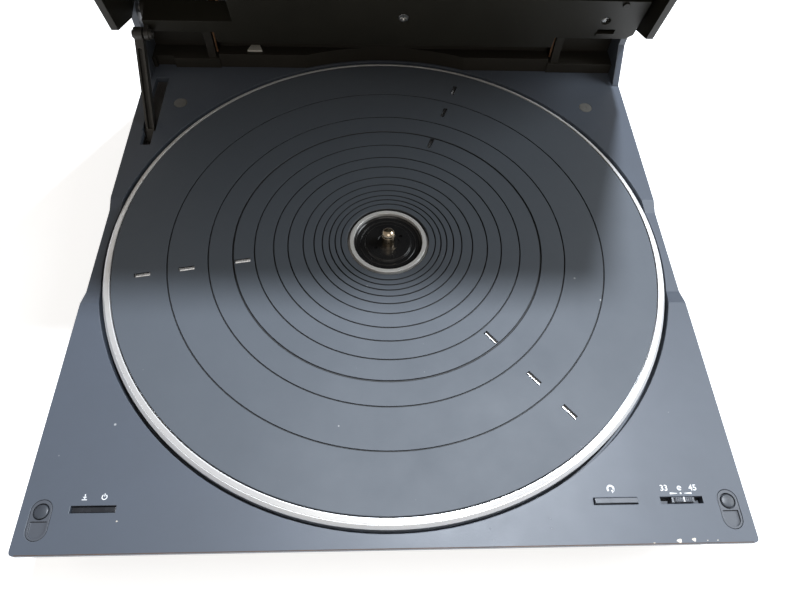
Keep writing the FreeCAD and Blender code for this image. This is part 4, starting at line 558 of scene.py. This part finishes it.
def lid_plastic():
    """Near-black moulding with a warm tint and a fine texture."""
    f = Finish("lid_plastic", (0.0105, 0.0095, 0.0065), 0.44)
    f.shader.inputs["Specular IOR Level"].default_value = 0.28
    f.edges((0.06, 0.055, 0.045), radius=0.0005, amount=0.5)
    f.patches((0.016, 0.0145, 0.010), scale=11.0, change=0.1)
    f.dust((0.12, 0.12, 0.11), scale=90.0, share=0.09, size=0.055, amount=0.6)
    f.grain(2200.0, 0.000022)
    return f.done()


def rubber_black():
    """Black rubber with a dull bloom."""
    f = Finish("rubber_black", (0.018, 0.018, 0.019), 0.72)
    f.patches((0.04, 0.04, 0.041), scale=60.0, change=0.1)
    f.grain(1500.0, 0.00003)
    return f.done()


def plug_grey():
    """Light grey plugs, a little yellowed."""
    f = Finish("plug_grey", (0.17, 0.17, 0.165), 0.5)
    f.patches((0.13, 0.128, 0.12), scale=90.0, change=0.1)
    f.grain(2600.0, 0.00002)
    return f.done()


def insert_plastic():
    """Dark grey trim, polished by handling."""
    f = Finish("insert_plastic", (0.075, 0.083, 0.099), 0.36)
    f.edges((0.2, 0.2, 0.21), radius=0.0003, amount=0.35)
    f.patches((0.060, 0.066, 0.08), scale=70.0, change=0.12)
    f.grain(2600.0, 0.000012)
    return f.done()


def pad_rubber():
    """Smooth dark rubber pads with a slight shine."""
    f = Finish("pad_rubber", (0.045, 0.052, 0.064), 0.33)
    f.patches((0.032, 0.036, 0.045), scale=220.0, change=0.14)
    f.grain(2400.0, 0.000008)
    return f.done()


def turned_metal(name, colour, roughness, darker, marks=3600.0, depth=0.000006, dust=True, metallic=1.0):
    """Metal turned on a lathe about the spindle's axis; a finely scattering finish is less metallic."""
    f = Finish(name, colour, roughness, metallic)
    f.patches(darker, scale=40.0, change=0.05)
    if dust:
        f.dust((0.5, 0.5, 0.5), scale=240.0, share=0.04, size=0.08, amount=0.4)
    f.bump(f.effect(RINGS, Scale=marks)["Height"], depth)
    return f.done()


def cast_aluminium():
    """Turned and polished rim of the platter."""
    return turned_metal("cast_aluminium", (0.90, 0.90, 0.90), 0.34, (0.83, 0.83, 0.84), metallic=0.45)


def bright_ring():
    """Polished ring round the hub."""
    return turned_metal("bright_ring", (0.97, 0.97, 0.96), 0.30, (0.93, 0.93, 0.93), depth=0.000003,
                        metallic=0.5)


def spindle_metal():
    """Polished spindle with a brassy tint where the plating has worn."""
    return turned_metal("spindle_metal", (0.80, 0.72, 0.60), 0.14, (0.72, 0.55, 0.36), dust=False)


def window_mirror():
    """Bright plated reflectors in the mat's slots."""
    f = Finish("window_mirror", (0.88, 0.90, 0.93), 0.18, metallic=1.0)
    f.patches((0.70, 0.72, 0.76), scale=200.0, change=0.15)
    f.grain(2400.0, 0.000006)
    return f.done()


def gloss_black():
    """Glossy black hub disc with fine hairlines."""
    f = Finish("gloss_black", (0.010, 0.010, 0.011), 0.12)
    f.patches((0.016, 0.016, 0.017), scale=60.0, change=0.1)
    f.dust((0.5, 0.5, 0.5), scale=420.0, share=0.10, size=0.10, amount=0.6)
    f.bump(f.effect(RINGS, Scale=2200.0)["Height"], 0.000004)
    return f.done()


def brushed_metal(name, colour, roughness, darker, marks=3000.0, depth=0.000008):
    """Ground or drawn metal with marks along X."""
    f = Finish(name, colour, roughness, metallic=1.0)
    f.edges((0.9, 0.9, 0.9), radius=0.0002, amount=0.3)
    f.patches(darker, scale=45.0, change=0.12)
    f.bump(f.effect(BRUSHED, Scale=marks)["Height"], depth)
    return f.done()


def steel():
    """Ground steel."""
    return brushed_metal("steel", (0.56, 0.56, 0.57), 0.32, (0.44, 0.43, 0.42))


def bright_screw():
    """Bright plated steel."""
    return brushed_metal("bright_screw", (0.82, 0.81, 0.78), 0.2, (0.62, 0.61, 0.58), depth=0.000004)


def spring_copper():
    """Copper-coloured spring wire."""
    return brushed_metal("spring_copper", (0.72, 0.40, 0.22), 0.3, (0.45, 0.24, 0.13), depth=0.000004)


def arm_metal():
    """Satin anodised aluminium."""
    return brushed_metal("arm_metal", (0.50, 0.50, 0.51), 0.38, (0.42, 0.42, 0.43))


def brass_sleeve():
    """Turned brass."""
    return brushed_metal("brass_sleeve", (0.75, 0.58, 0.32), 0.3, (0.55, 0.40, 0.22), depth=0.000006)


def magnet_grey():
    """Sintered magnet, dull and pitted."""
    f = Finish("magnet_grey", (0.055, 0.052, 0.05), 0.62, metallic=0.4)
    f.patches((0.075, 0.07, 0.066), scale=40.0)
    f.grain(900.0, 0.00005)
    return f.done()


def copper_winding():
    """Enamelled wire, wound tight: fine ridges across X."""
    f = Finish("copper_winding", (0.60, 0.27, 0.12), 0.3, metallic=0.8)
    wires = f.tree.nodes.new("ShaderNodeTexWave")
    wires.inputs["Scale"].default_value = 900.0
    wires.inputs["Distortion"].default_value = 0.4
    f.tree.links.new(f.place, wires.inputs["Vector"])
    f.tint(wires.outputs["Fac"], (0.38, 0.15, 0.06), 0.6)
    f.patches((0.45, 0.20, 0.09), scale=60.0)
    f.bump(wires.outputs["Fac"], 0.0001)
    return f.done()


def board_green():
    """Green laminate with lighter copper tracks under the varnish."""
    f = Finish("board_green", (0.020, 0.085, 0.035), 0.35)
    tracks = f.tree.nodes.new("ShaderNodeTexBrick")
    tracks.inputs["Scale"].default_value = 110.0
    tracks.inputs["Mortar Size"].default_value = 0.09
    tracks.inputs["Color1"].default_value = (0, 0, 0, 1)
    tracks.inputs["Color2"].default_value = (0, 0, 0, 1)
    tracks.inputs["Mortar"].default_value = (1, 1, 1, 1)
    f.tree.links.new(f.place, tracks.inputs["Vector"])
    f.tint(tracks.outputs["Color"], (0.05, 0.17, 0.06), 0.8)
    f.patches((0.016, 0.065, 0.03), scale=30.0)
    f.bump(tracks.outputs["Fac"], 0.00003)
    return f.done()


def part_black():
    """Black moulded parts with a matt skin."""
    f = Finish("part_black", (0.020, 0.020, 0.021), 0.48)
    f.edges((0.09, 0.09, 0.09), radius=0.0002, amount=0.4)
    f.patches((0.032, 0.032, 0.033), scale=50.0)
    f.grain(2600.0, 0.00002)
    return f.done()


def white_plastic():
    """Translucent white plastic, slightly yellowed."""
    f = Finish("white_plastic", (0.72, 0.71, 0.66), 0.4)
    f.shader.inputs["Subsurface Weight"].default_value = 0.15
    f.shader.inputs["Subsurface Radius"].default_value = (0.001, 0.0008, 0.0006)
    f.patches((0.60, 0.58, 0.50), scale=90.0, change=0.1)
    f.grain(2200.0, 0.00001)
    return f.done()


def key_plastic():
    """Satin grey keys, their edges rubbed brighter."""
    f = Finish("key_plastic", (0.075, 0.083, 0.099), 0.36)
    f.edges((0.22, 0.23, 0.25), radius=0.0002, amount=0.35)
    f.patches((0.060, 0.066, 0.08), scale=80.0, change=0.1)
    f.grain(2600.0, 0.00001)
    return f.done()


def key_black():
    """Glossy black key."""
    f = Finish("key_black", (0.014, 0.015, 0.018), 0.22)
    f.patches((0.026, 0.028, 0.033), scale=90.0, change=0.12)
    f.grain(2600.0, 0.000006)
    return f.done()


def stay_metal():
    """Dark painted steel channel, rubbed to metal along its edges."""
    f = Finish("stay_metal", (0.045, 0.042, 0.037), 0.36, metallic=0.3)
    f.edges((0.34, 0.32, 0.28), radius=0.0004, amount=0.65, breakup=200.0)
    f.patches((0.030, 0.028, 0.026), scale=50.0, change=0.15)
    f.grain(2400.0, 0.00001)
    return f.done()


def belt_rubber():
    """Ground rubber belt."""
    f = Finish("belt_rubber", (0.022, 0.022, 0.022), 0.6)
    f.patches((0.035, 0.034, 0.033), scale=70.0)
    f.grain(2800.0, 0.00001)
    return f.done()


def stylus_red():
    """Translucent red stylus holder."""
    f = Finish("stylus_red", (0.42, 0.03, 0.02), 0.25)
    f.shader.inputs["Subsurface Weight"].default_value = 0.2
    f.shader.inputs["Subsurface Radius"].default_value = (0.001, 0.0002, 0.0002)
    f.patches((0.30, 0.02, 0.015), scale=200.0)
    f.grain(2600.0, 0.000004)
    return f.done()


def mark_white():
    """Printed white ink, slightly uneven."""
    f = Finish("mark_white", (0.86, 0.87, 0.88), 0.45)
    f.patches((0.70, 0.71, 0.73), scale=500.0, change=0.1)
    f.grain(5000.0, 0.000006)
    return f.done()


def bare_metal():
    """Casting laid bare where the paint has chipped, dull and slightly tarnished."""
    f = Finish("bare_metal", (0.62, 0.58, 0.52), 0.5, metallic=0.4)
    f.patches((0.45, 0.40, 0.33), scale=900.0, change=0.1)
    f.grain(3000.0, 0.00001)
    return f.done()


def painted_edge_shade():
    """Dark brown painted shade for the line along the deck's front edge."""
    # painted shade: dark brown standing in for the shaded front lip
    f = Finish("painted_edge_shade", (0.085, 0.048, 0.030), 0.6)
    f.patches((0.05, 0.045, 0.045), scale=60.0, change=0.1)
    f.grain(3000.0, 0.00001)
    return f.done()


def floor_finish():
    """Pale plain floor."""
    f = Finish("floor_finish", (0.86, 0.86, 0.87), 0.6)
    f.shader.inputs["Emission Color"].default_value = (1.0, 1.0, 1.0, 1.0)
    f.shader.inputs["Emission Strength"].default_value = 0.72
    f.patches((0.84, 0.84, 0.85), scale=3.0, change=0.05)
    return f.done()


PAINT = deck_paint()
MAT = mat_rubber()
CASE = case_black()
LID = lid_plastic()
RUBBER = rubber_black()
PLUG = plug_grey()
TRIM = insert_plastic()
PAD = pad_rubber()
RIM = cast_aluminium()
RING = bright_ring()
SPINDLE = spindle_metal()
MIRROR = window_mirror()
GLOSS = gloss_black()
STEEL = steel()
SCREW = bright_screw()
SPRING = spring_copper()
ARM = arm_metal()
BRASS = brass_sleeve()
MAGNET = magnet_grey()
COPPER = copper_winding()
BOARD = board_green()
PART = part_black()
WHITE = white_plastic()
KEY = key_plastic()
KEY_BLACK = key_black()
STAY = stay_metal()
BELT = belt_rubber()
RED = stylus_red()
INK = mark_white()
BARE = bare_metal()
EDGE_SHADE = painted_edge_shade()

NODE_FINISH = {
    PAINT: ("deck", "cheek_left", "cheek_right"),
    CASE: ("bottom_tray", "rear_block", "headshell"),
    LID: ("lid_shell", "arm_housing"),
    TRIM: ("corner_inserts",),
    STEEL: ("case_screws", "hinge_pins", "transformer_core", "stay_guide", "guide_rods", "arm_motor"),
    SCREW: ("stay_screw", "housing_screws", "sensor_lens", "phono_sockets", "earth_terminal"),
    ARM: ("heat_sink", "arm_tube"),
    BRASS: ("bearing_housing", "counterweight", "motor_pulley"),
    MAGNET: ("rotor_magnet",),
    COPPER: ("stator_coils", "transformer_coil"),
    BOARD: ("stator_board", "main_board", "control_board"),
    PART: ("mains_inlet", "board_parts", "switch_bodies", "carriage", "cartridge"),
    WHITE: ("lid_sensor", "idler_pulley"),
    RUBBER: ("feet",),
    KEY: ("start_button", "cue_button", "arm_left_button", "arm_right_button"),
    STAY: ("lid_stay", "stay_bracket"),
    BELT: ("drive_belt",),
    RED: ("stylus",),
}


def finish_nodes():
    """Gives each CAD node that stays its finish."""
    for material, names in NODE_FINISH.items():
        for name in names:
            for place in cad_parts[name].material_slots:
                place.material = material


# ---------------------------------------------------------------- platter
def platter():
    """Turned platter: two bright facets with a fine line between them, a skirt, a web and a hub boss."""
    line_out = RIM_MID_R + 0.25
    outline = [(SHAFT_R, -MAT_T), (RIM_INNER_R, -MAT_T), (RIM_INNER_R, 0.0), (RIM_INNER_R + 0.4, 0.0),
               (RIM_MID_R, -RIM_MID_DROP + 0.1), (RIM_MID_R, -RIM_MID_DROP - RIM_LINE),
               (line_out, -RIM_MID_DROP - RIM_LINE), (line_out, -RIM_MID_DROP - 0.1),
               (PLATTER_R, -RIM_DROP), (PLATTER_R, RIM_BOTTOM), (PLATTER_R - 4, RIM_BOTTOM),
               (PLATTER_R - 7, -6.0), (12.0, -6.0), (12.0, -11.0), (SHAFT_R, -11.0)]
    return piece("turned_platter", turned(softened(outline, 0.12, 3), 384), RIM, "platter",
                 ["platter"])


def window_shape(r, angle, inset, outline):
    """Section of (across, z) points carried along the radius through a window of the mat, less inset."""
    half = WINDOW_L / 2 - inset
    loops = [np.array([(x, across, z) for across, z in outline], float) for x in (r - half, r + half)]
    return spun(lofted(loops), angle)


def mat():
    """Turned rubber mat with soft-lipped grooves and nine slots."""
    outline = [(MAT_HOLE_R, -MAT_T), (MAT_R, -MAT_T), (MAT_R, -0.3), (MAT_R - 0.3, 0.0)]
    for r in reversed(MAT_GROOVES):
        half = (BOLD_GROOVE_W if r == BOLD_GROOVE else GROOVE_W) / 2
        outline += [(r + half, 0.0), (r + half * 0.5, -GROOVE_D),
                    (r - half * 0.5, -GROOVE_D), (r - half, 0.0)]
    outline += [(MAT_HOLE_R + 0.5, 0.0), (MAT_HOLE_R, -0.5)]
    edge = WINDOW_W / 2
    knives = [window_shape(r, a, 0.0, [(-edge, -MAT_T - 1), (edge, -MAT_T - 1), (edge, 1), (-edge, 1)])
              for r in WINDOW_RADII for a in WINDOW_ANGLES]
    mesh = carved("grooved_mat", turned(softened(outline, 0.07, 2), 360), knives)
    return piece("grooved_mat", mesh, MAT, "platter", ["platter_mat"])


def window_mirrors():
    """Dished reflectors: height across a slot is a slope plus 0.7 (v^2 - 1) for v from -1 to 1."""
    half = WINDOW_W / 2 - 0.1
    v = np.linspace(1, -1, 9)
    top = np.column_stack([v * half, -1.15 - 0.45 * v + 0.7 * (v ** 2 - 1)])
    outline = [(-half, -MAT_T), (half, -MAT_T), *top.tolist()]
    shapes = [window_shape(r, a, 0.1, outline) for r in WINDOW_RADII for a in WINDOW_ANGLES]
    return piece("window_mirrors", together(shapes), MIRROR, "platter", ["size_windows"])


def hub_trim():
    """Bright ring with rounded shoulders."""
    outline = [(HUB_RING_IN_R, -MAT_T), (HUB_RING_R, -MAT_T), (HUB_RING_R, -0.1), (HUB_RING_IN_R, -0.1)]
    return piece("hub_trim", turned(softened(outline, 0.18, 5), 192), RING, "platter",
                 ["hub_ring"])


def hub_disc():
    """Glossy stepped disc with a beaded outer edge, a raised middle and two holes."""
    outline = [(SHAFT_R, -MAT_T), (CENTRE_DISC_R, -MAT_T), (CENTRE_DISC_R, CENTRE_LEDGE + 0.5),
               (CENTRE_DISC_R - 0.8, CENTRE_LEDGE + 0.5), (CENTRE_DISC_R - 1.3, CENTRE_LEDGE),
               (CENTRE_STEP_R + 3.0, CENTRE_LEDGE), (CENTRE_STEP_R + 2.6, CENTRE_LEDGE + 0.22),
               (CENTRE_STEP_R + 2.2, CENTRE_LEDGE), (CENTRE_STEP_R + 0.5, CENTRE_LEDGE),
               (CENTRE_STEP_R, CENTRE_TOP - 0.2), (CENTRE_STEP_R - 0.5, CENTRE_TOP),
               (SHAFT_R + 3.2, CENTRE_TOP), (SHAFT_R + 2.6, CENTRE_TOP - 0.3), (SHAFT_R, CENTRE_TOP - 0.3)]
    x, y = CENTRE_HOLE
    bottom = CENTRE_TOP - 1.4
    bores = [turned([(0, bottom), (0.9, bottom), (0.9, 0.5), (0, 0.5)], 24, (s * x, s * y))
             for s in (-1, 1)]
    mesh = carved("hub_disc", turned(softened(outline, 0.16, 4), 160), bores)
    return piece("hub_disc", mesh, GLOSS, "platter", ["centre_disc"])


def spindle_pin():
    """Spindle: a shaft below, a short parallel nose, a small groove and an elliptical tip."""
    shoulder = CENTRE_TOP - 0.3
    dome = SPINDLE_TOP - SPINDLE_R * 0.85
    a = np.linspace(0, math.pi / 2, 14)
    tip = np.column_stack([SPINDLE_R * np.cos(a), dome + (SPINDLE_TOP - dome) * np.sin(a)])
    profile = [(0, SHAFT_BOTTOM), (SHAFT_R - 0.4, SHAFT_BOTTOM), (SHAFT_R, SHAFT_BOTTOM + 0.4),
               (SHAFT_R, shoulder), (SPINDLE_R, shoulder), (SPINDLE_R, dome - 0.9),
               (SPINDLE_R - 0.12, dome - 0.75), (SPINDLE_R - 0.12, dome - 0.55), (SPINDLE_R, dome - 0.4),
               *tip[:-1].tolist(), (0, SPINDLE_TOP)]
    return piece("spindle_pin", turned(profile, 64), SPINDLE, "platter", ["spindle"])


# ---------------------------------------------------------------- controls on the deck
def key_shape(cx, half_x, top, low):
    """Front key: narrow stem, wide flange under the deck, and a cap with rounded upper edges."""
    flange_x = -1.85
    flange_y = -1.25
    stem_x = half_x - KEY_STEM_HALF_W
    under, over = KEY_FLANGE
    section = [(stem_x, 0.45, low), (stem_x, 0.45, under), (flange_x, flange_y, under),
               (flange_x, flange_y, over), (0.0, 0.0, over), (0.0, 0.0, top - 0.4), *round_top(top, 0.28)]
    return slab((cx, CONTROL_Y), half_x, KEY_HALF_D, 0.3, section)


def power_key():
    """Latched-down glossy key at the left."""
    low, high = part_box("power_button")
    shape = key_shape((low.x + high.x) / 2 / MM, POWER_HALF_W, high.z / MM, low.z / MM)
    return piece("power_key", shape, KEY_BLACK, "power_button", ["power_button"])


def repeat_key():
    """Satin key that stands proud of the deck."""
    low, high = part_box("repeat_button")
    shape = key_shape((low.x + high.x) / 2 / MM, REPEAT_HALF_W, high.z / MM, low.z / MM)
    return piece("repeat_key", shape, KEY, "repeat_button", ["repeat_button"])


def speed_knob():
    """Slider: stem, plate below the deck, stepped shoulders and a ribbed crown."""
    low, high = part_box("speed_slider")
    cx = (low.x + high.x) / 2 / MM
    top = high.z / MM
    under, over = KNOB_PLATE
    plate = slab((cx, CONTROL_Y), KNOB_PLATE_HALF_W, 2.35, 0.4,
                 [(7.5, 1.75, low.z / MM), (7.5, 1.75, under), (0, 0, under), (0, 0, over),
                  (0.2, 0.2, over + 0.1)])
    knob = slab((cx, CONTROL_Y), KNOB_HALF_W, KEY_HALF_D, 0.3,
                [(0, 0, over), (0, 0, top - 1.3), (1.0, 0, top - 1.1),
                 *round_top(top - 0.25, 0.2, 1.0, 0.0)])
    rib = [(0, 0, top - 0.6), *round_top(top, 0.16)]
    ribs = [slab((cx + dx, CONTROL_Y), 0.28, KEY_HALF_D - 0.25, 0.1, rib) for dx in RIB_PLACES]
    return piece("speed_knob", together([plate, knob] + ribs), KEY, "speed_slider",
                 ["speed_slider"])


def speed_index():
    """White line across the slider's crown."""
    low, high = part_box("speed_slider")
    cx = (low.x + high.x) / 2 / MM
    top = high.z / MM
    line = slab((cx, CONTROL_Y), 0.32, KEY_HALF_D - 0.1, 0.1, [(0, 0, top - 0.5), *round_top(top, 0.1)])
    return piece("speed_index", line, INK, "speed_slider")


def rest_pads():
    """Domed rubber pads: the top falls by 0.3 (r/R)^2 from the middle to a rounded shoulder."""
    low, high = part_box("insert_pads")
    radius = (high.y - low.y) / 2 / MM
    centre_y = (low.y + high.y) / 2 / MM
    centre_x = high.x / MM - radius
    top = high.z / MM
    r = np.linspace(radius - 0.45, 0, 10)
    dome = np.column_stack([r, top - 0.3 * (r / radius) ** 2])
    profile = [(0, low.z / MM), (radius, low.z / MM), (radius, top - 0.75), (radius - 0.12, top - 0.45),
               *dome.tolist()]
    shapes = [turned(profile, 48, (side * centre_x, centre_y)) for side in (-1, 1)]
    return piece("rest_pads", together(shapes), PAD, "base", ["insert_pads"])


def screw_plugs():
    """Plugs with a rounded edge and a shallow moulded dimple."""
    low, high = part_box("deck_plugs")
    radius = (high.y - low.y) / 2 / MM
    centre_x = high.x / MM - radius
    centre_y = (low.y + high.y) / 2 / MM
    top = high.z / MM
    profile = [(0, low.z / MM), (radius, low.z / MM), (radius, top - 0.3), (radius - 0.08, top - 0.1),
               (radius - 0.3, top), (1.0, top), (0.7, top - 0.12), (0, top - 0.15)]
    shapes = [turned(profile, 48, (side * centre_x, centre_y)) for side in (-1, 1)]
    return piece("screw_plugs", together(shapes), PLUG, "base", ["deck_plugs"])


# ---------------------------------------------------------------- printed marks, paint chips and a line of painted shade
MARK_Z = (DECK_TOP - 0.02, DECK_TOP + 0.03)
CHIPS = ((124.6, -160.7, 1.1, 0.85), (131.2, -160.3, 0.9, 0.75), (113.3, -161.4, 0.4, 0.25),
         (137.1, -160.7, 0.3, 0.2), (141.6, -160.7, 0.35, 0.2), (-118.2, -148.6, 0.4, 0.35))


def arc_band(cx, cy, r_in, r_out, start, stop, z, steps=24):
    """Flat band between two radii and two angles in degrees."""
    a = np.radians(np.linspace(start, stop, steps))
    outer = np.column_stack([cx + r_out * np.cos(a), cy + r_out * np.sin(a)])
    inner = np.column_stack([cx + r_in * np.cos(a[::-1]), cy + r_in * np.sin(a[::-1])])
    return prism(np.concatenate([outer, inner]), *z)


def disc(cx, cy, r, z):
    """Flat round mark."""
    a = np.linspace(0, 2 * math.pi, 20, endpoint=False)
    return prism(np.column_stack([cx + r * np.cos(a), cy + r * np.sin(a)]), *z)


def bar(x, y, z):
    """Flat rectangular mark between the pairs x and y."""
    return prism([(x[0], y[0]), (x[1], y[0]), (x[1], y[1]), (x[0], y[1])], *z)


def numerals(text, cx, y, height):
    """Printed numerals, made a mesh and placed with their middle at cx and their foot at y."""
    curve = bpy.data.curves.new("numerals_" + text, "FONT")
    curve.body = text
    curve.size = 1.0
    curve.extrude = 0.01
    curve.offset = 0.012
    curve.align_x = "CENTER"
    curve.resolution_u = 4
    holder = bpy.data.objects.new("numerals_" + text, curve)
    bpy.context.scene.collection.objects.link(holder)
    made = bpy.data.meshes.new_from_object(holder.evaluated_get(bpy.context.evaluated_depsgraph_get()))
    bpy.data.objects.remove(holder)
    points = np.zeros(len(made.vertices) * 3, np.float32)
    made.vertices.foreach_get("co", points)
    points = points.reshape(-1, 3).astype(float)
    tall = points[:, 1].max() - points[:, 1].min()
    scale = height / tall
    flat = (points[:, 2] - points[:, 2].min()) / max(np.ptp(points[:, 2]), 1e-9)
    place = np.column_stack([points[:, 0] * scale + cx, (points[:, 1] - points[:, 1].min()) * scale + y,
                             MARK_Z[0] + flat * (MARK_Z[1] - MARK_Z[0])])
    return place, [list(p.vertices) for p in made.polygons]


def speed_marks():
    """Numerals for the two speeds, a ring between them for automatic choice, and the slider's scale."""
    y = -139.3
    shapes = [numerals("33", 123.2, y, 2.7), numerals("45", 136.5, y, 2.7)]
    shapes.append(arc_band(130.3, y + 1.15, 0.62, 1.05, 0, 330, MARK_Z))
    shapes.append(disc(130.3, y + 1.15, 0.28, MARK_Z))
    scale_y = y - 1.15
    for side in (-1, 1):
        inner = 130.4 + side * 1.6
        outer = 130.4 + side * 5.0
        shapes.append(prism([(inner, scale_y - 0.1), (outer, scale_y - 0.42), (outer, scale_y + 0.42),
                             (inner, scale_y + 0.1)], *MARK_Z))
    shapes.append(disc(130.4, scale_y, 0.42, MARK_Z))
    return piece("speed_marks", together(shapes), INK, "base")


def repeat_mark():
    """Open loop with an arrowhead."""
    cx = 98.7
    cy = -138.0
    band = arc_band(cx, cy, 1.0, 1.8, -45, 220, MARK_Z)
    tip = math.radians(-48)
    tx = cx + 1.35 * math.cos(tip)
    ty = cy + 1.35 * math.sin(tip)
    head = prism([(tx + 0.75, ty + 0.75), (tx - 0.75, ty + 0.35), (tx - 0.25, ty - 1.0)], *MARK_Z)
    return piece("repeat_mark", together([band, head]), INK, "base")


def power_marks():
    """Generic marks for pressing in and switching on: an arrow down to a line, and a broken ring."""
    y = -138.2
    arrow_x = -134.0
    shapes = [bar((arrow_x - 0.22, arrow_x + 0.22), (y - 0.1, y + 1.2), MARK_Z),
              prism([(arrow_x - 0.85, y + 0.1), (arrow_x + 0.85, y + 0.1), (arrow_x, y - 0.85)], *MARK_Z),
              bar((arrow_x - 1.1, arrow_x + 1.1), (y - 1.35, y - 1.0), MARK_Z)]
    ring_x = -125.6
    shapes.append(arc_band(ring_x, y - 0.1, 0.85, 1.25, 125, 415, MARK_Z))
    shapes.append(bar((ring_x - 0.2, ring_x + 0.2), (y + 0.1, y + 1.4), MARK_Z))
    return piece("power_marks", together(shapes), INK, "base")


def paint_chips():
    """Bare flakes along the front edge: the outline's radius is 1 + 0.22 sin(3a + x) at angle a."""
    a = np.linspace(0, 2 * math.pi, 10, endpoint=False)
    shapes = []
    for cx, cy, half_x, half_y in CHIPS:
        r = 1 + 0.22 * np.sin(3 * a + cx)
        outline = np.column_stack([cx + half_x * r * np.cos(a), cy + half_y * r * np.sin(a)])
        shapes.append(prism(outline, *MARK_Z))
    return piece("paint_chips", together(shapes), BARE, "base")


def painted_shade_line():
    """Thin line of painted shade along the top of the front edge."""
    # painted shade: a dark strip on the deck's top along the front edge
    return piece("painted_shade_line", bar((-157.5, 157.5), (-161.98, -161.55), MARK_Z), EDGE_SHADE, "base")


# ---------------------------------------------------------------- rear and lid details
def lid_coils():
    """Wound springs: the wire's centre is at angle 2 pi n s round the hinge line while x runs with s, and
    a straight leg follows."""
    outer_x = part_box("lid_springs")[1].x / MM
    wire = SPRING_WIRE_R
    radius = SPRING_R
    s = np.linspace(0, 1, 150)
    a = 2 * math.pi * SPRING_TURNS * s - math.pi
    shapes = []
    for side in (-1, 1):
        x = side * (outer_x - wire - (outer_x - SPRING_INNER_X - 2 * wire) * s)
        path = np.column_stack([x, HINGE_Y + radius * np.cos(a), HINGE_Z + radius * np.sin(a)])
        guide = np.column_stack([0 * s, np.cos(a), np.sin(a)])
        shapes.append(tube(path, guide, wire, 10))
        foot = np.array([(x[0], HINGE_Y - radius, HINGE_Z - t * (HINGE_Z - SPRING_FOOT_Z))
                         for t in np.linspace(0, 1, 6)])
        shapes.append(tube(foot, np.tile([1.0, 0, 0], (6, 1)), wire, 10))
    return piece("lid_coils", together(shapes), SPRING, "base", ["lid_springs"])


def main():
    """Builds every piece, the floor, the lights and the camera."""
    finish_nodes()
    for make in (platter, mat, window_mirrors, hub_trim, hub_disc, spindle_pin, power_key, repeat_key,
                 speed_knob, speed_index, rest_pads, screw_plugs, speed_marks, repeat_mark, power_marks,
                 paint_chips, painted_shade_line, lid_coils):
        make()
    floor()
    lights()
    camera()


# ---------------------------------------------------------------- stage
def floor():
    """Large pale floor under the feet."""
    half = FLOOR_HALF
    mesh = bpy.data.meshes.new("floor")
    mesh.from_pydata([(-half, -half, FLOOR_Z), (half, -half, FLOOR_Z), (half, half, FLOOR_Z),
                      (-half, half, FLOOR_Z)], [], [(0, 1, 2, 3)])
    mesh.materials.append(floor_finish())
    obj = bpy.data.objects.new("floor", mesh)
    bpy.context.scene.collection.objects.link(obj)


def area_light(name, place, target, size, power, colour=(1.0, 1.0, 1.0)):
    """Round soft light aimed at a point, all in metres."""
    data = bpy.data.lights.new(name, "AREA")
    data.shape = "DISK"
    data.size = size
    data.energy = power
    data.color = colour
    obj = bpy.data.objects.new(name, data)
    obj.location = place
    obj.rotation_euler = (Vector(target) - Vector(place)).to_track_quat("-Z", "Y").to_euler()
    bpy.context.scene.collection.objects.link(obj)
    return obj


def lights():
    """High key light just behind and to the right, a cool soft panel in front, and a dim even surround."""
    area_light("key", (0.37, 0.41, 2.0), (0.0, 0.0, 0.0), 0.16, 58.0, (0.86, 0.92, 1.0))
    area_light("front_panel", (0.1, -1.5, 1.5), (0.0, 0.0, 0.0), 1.6, 6.0, (1.0, 0.97, 0.92))
    area_light("right_panel", (1.7, 0.2, 1.2), (0.0, 0.0, 0.0), 1.2, 27.0, (0.90, 0.96, 1.0))
    world = bpy.data.worlds.new("surround")
    world.use_nodes = True
    world.node_tree.nodes["Background"].inputs["Color"].default_value = SURROUND_COLOUR
    world.node_tree.nodes["Background"].inputs["Strength"].default_value = SURROUND_STRENGTH
    bpy.context.scene.world = world


def camera():
    """View from just in front and above, looking down at the deck."""
    data = bpy.data.cameras.new("camera")
    data.lens = CAMERA_LENS
    data.sensor_width = CAMERA_SENSOR
    obj = bpy.data.objects.new("camera", data)
    right = Vector(CAMERA_RIGHT).normalized()
    forward = Vector(CAMERA_FORWARD).normalized()
    up = right.cross(forward).normalized()
    right = forward.cross(up).normalized()
    turn = Matrix((right, up, -forward)).transposed().to_4x4()
    obj.matrix_world = Matrix.Translation(CAMERA_PLACE) @ turn
    bpy.context.scene.collection.objects.link(obj)
    bpy.context.scene.camera = obj
    bpy.context.scene.view_settings.view_transform = "Standard"


main()
bpy.context.view_layer.update()
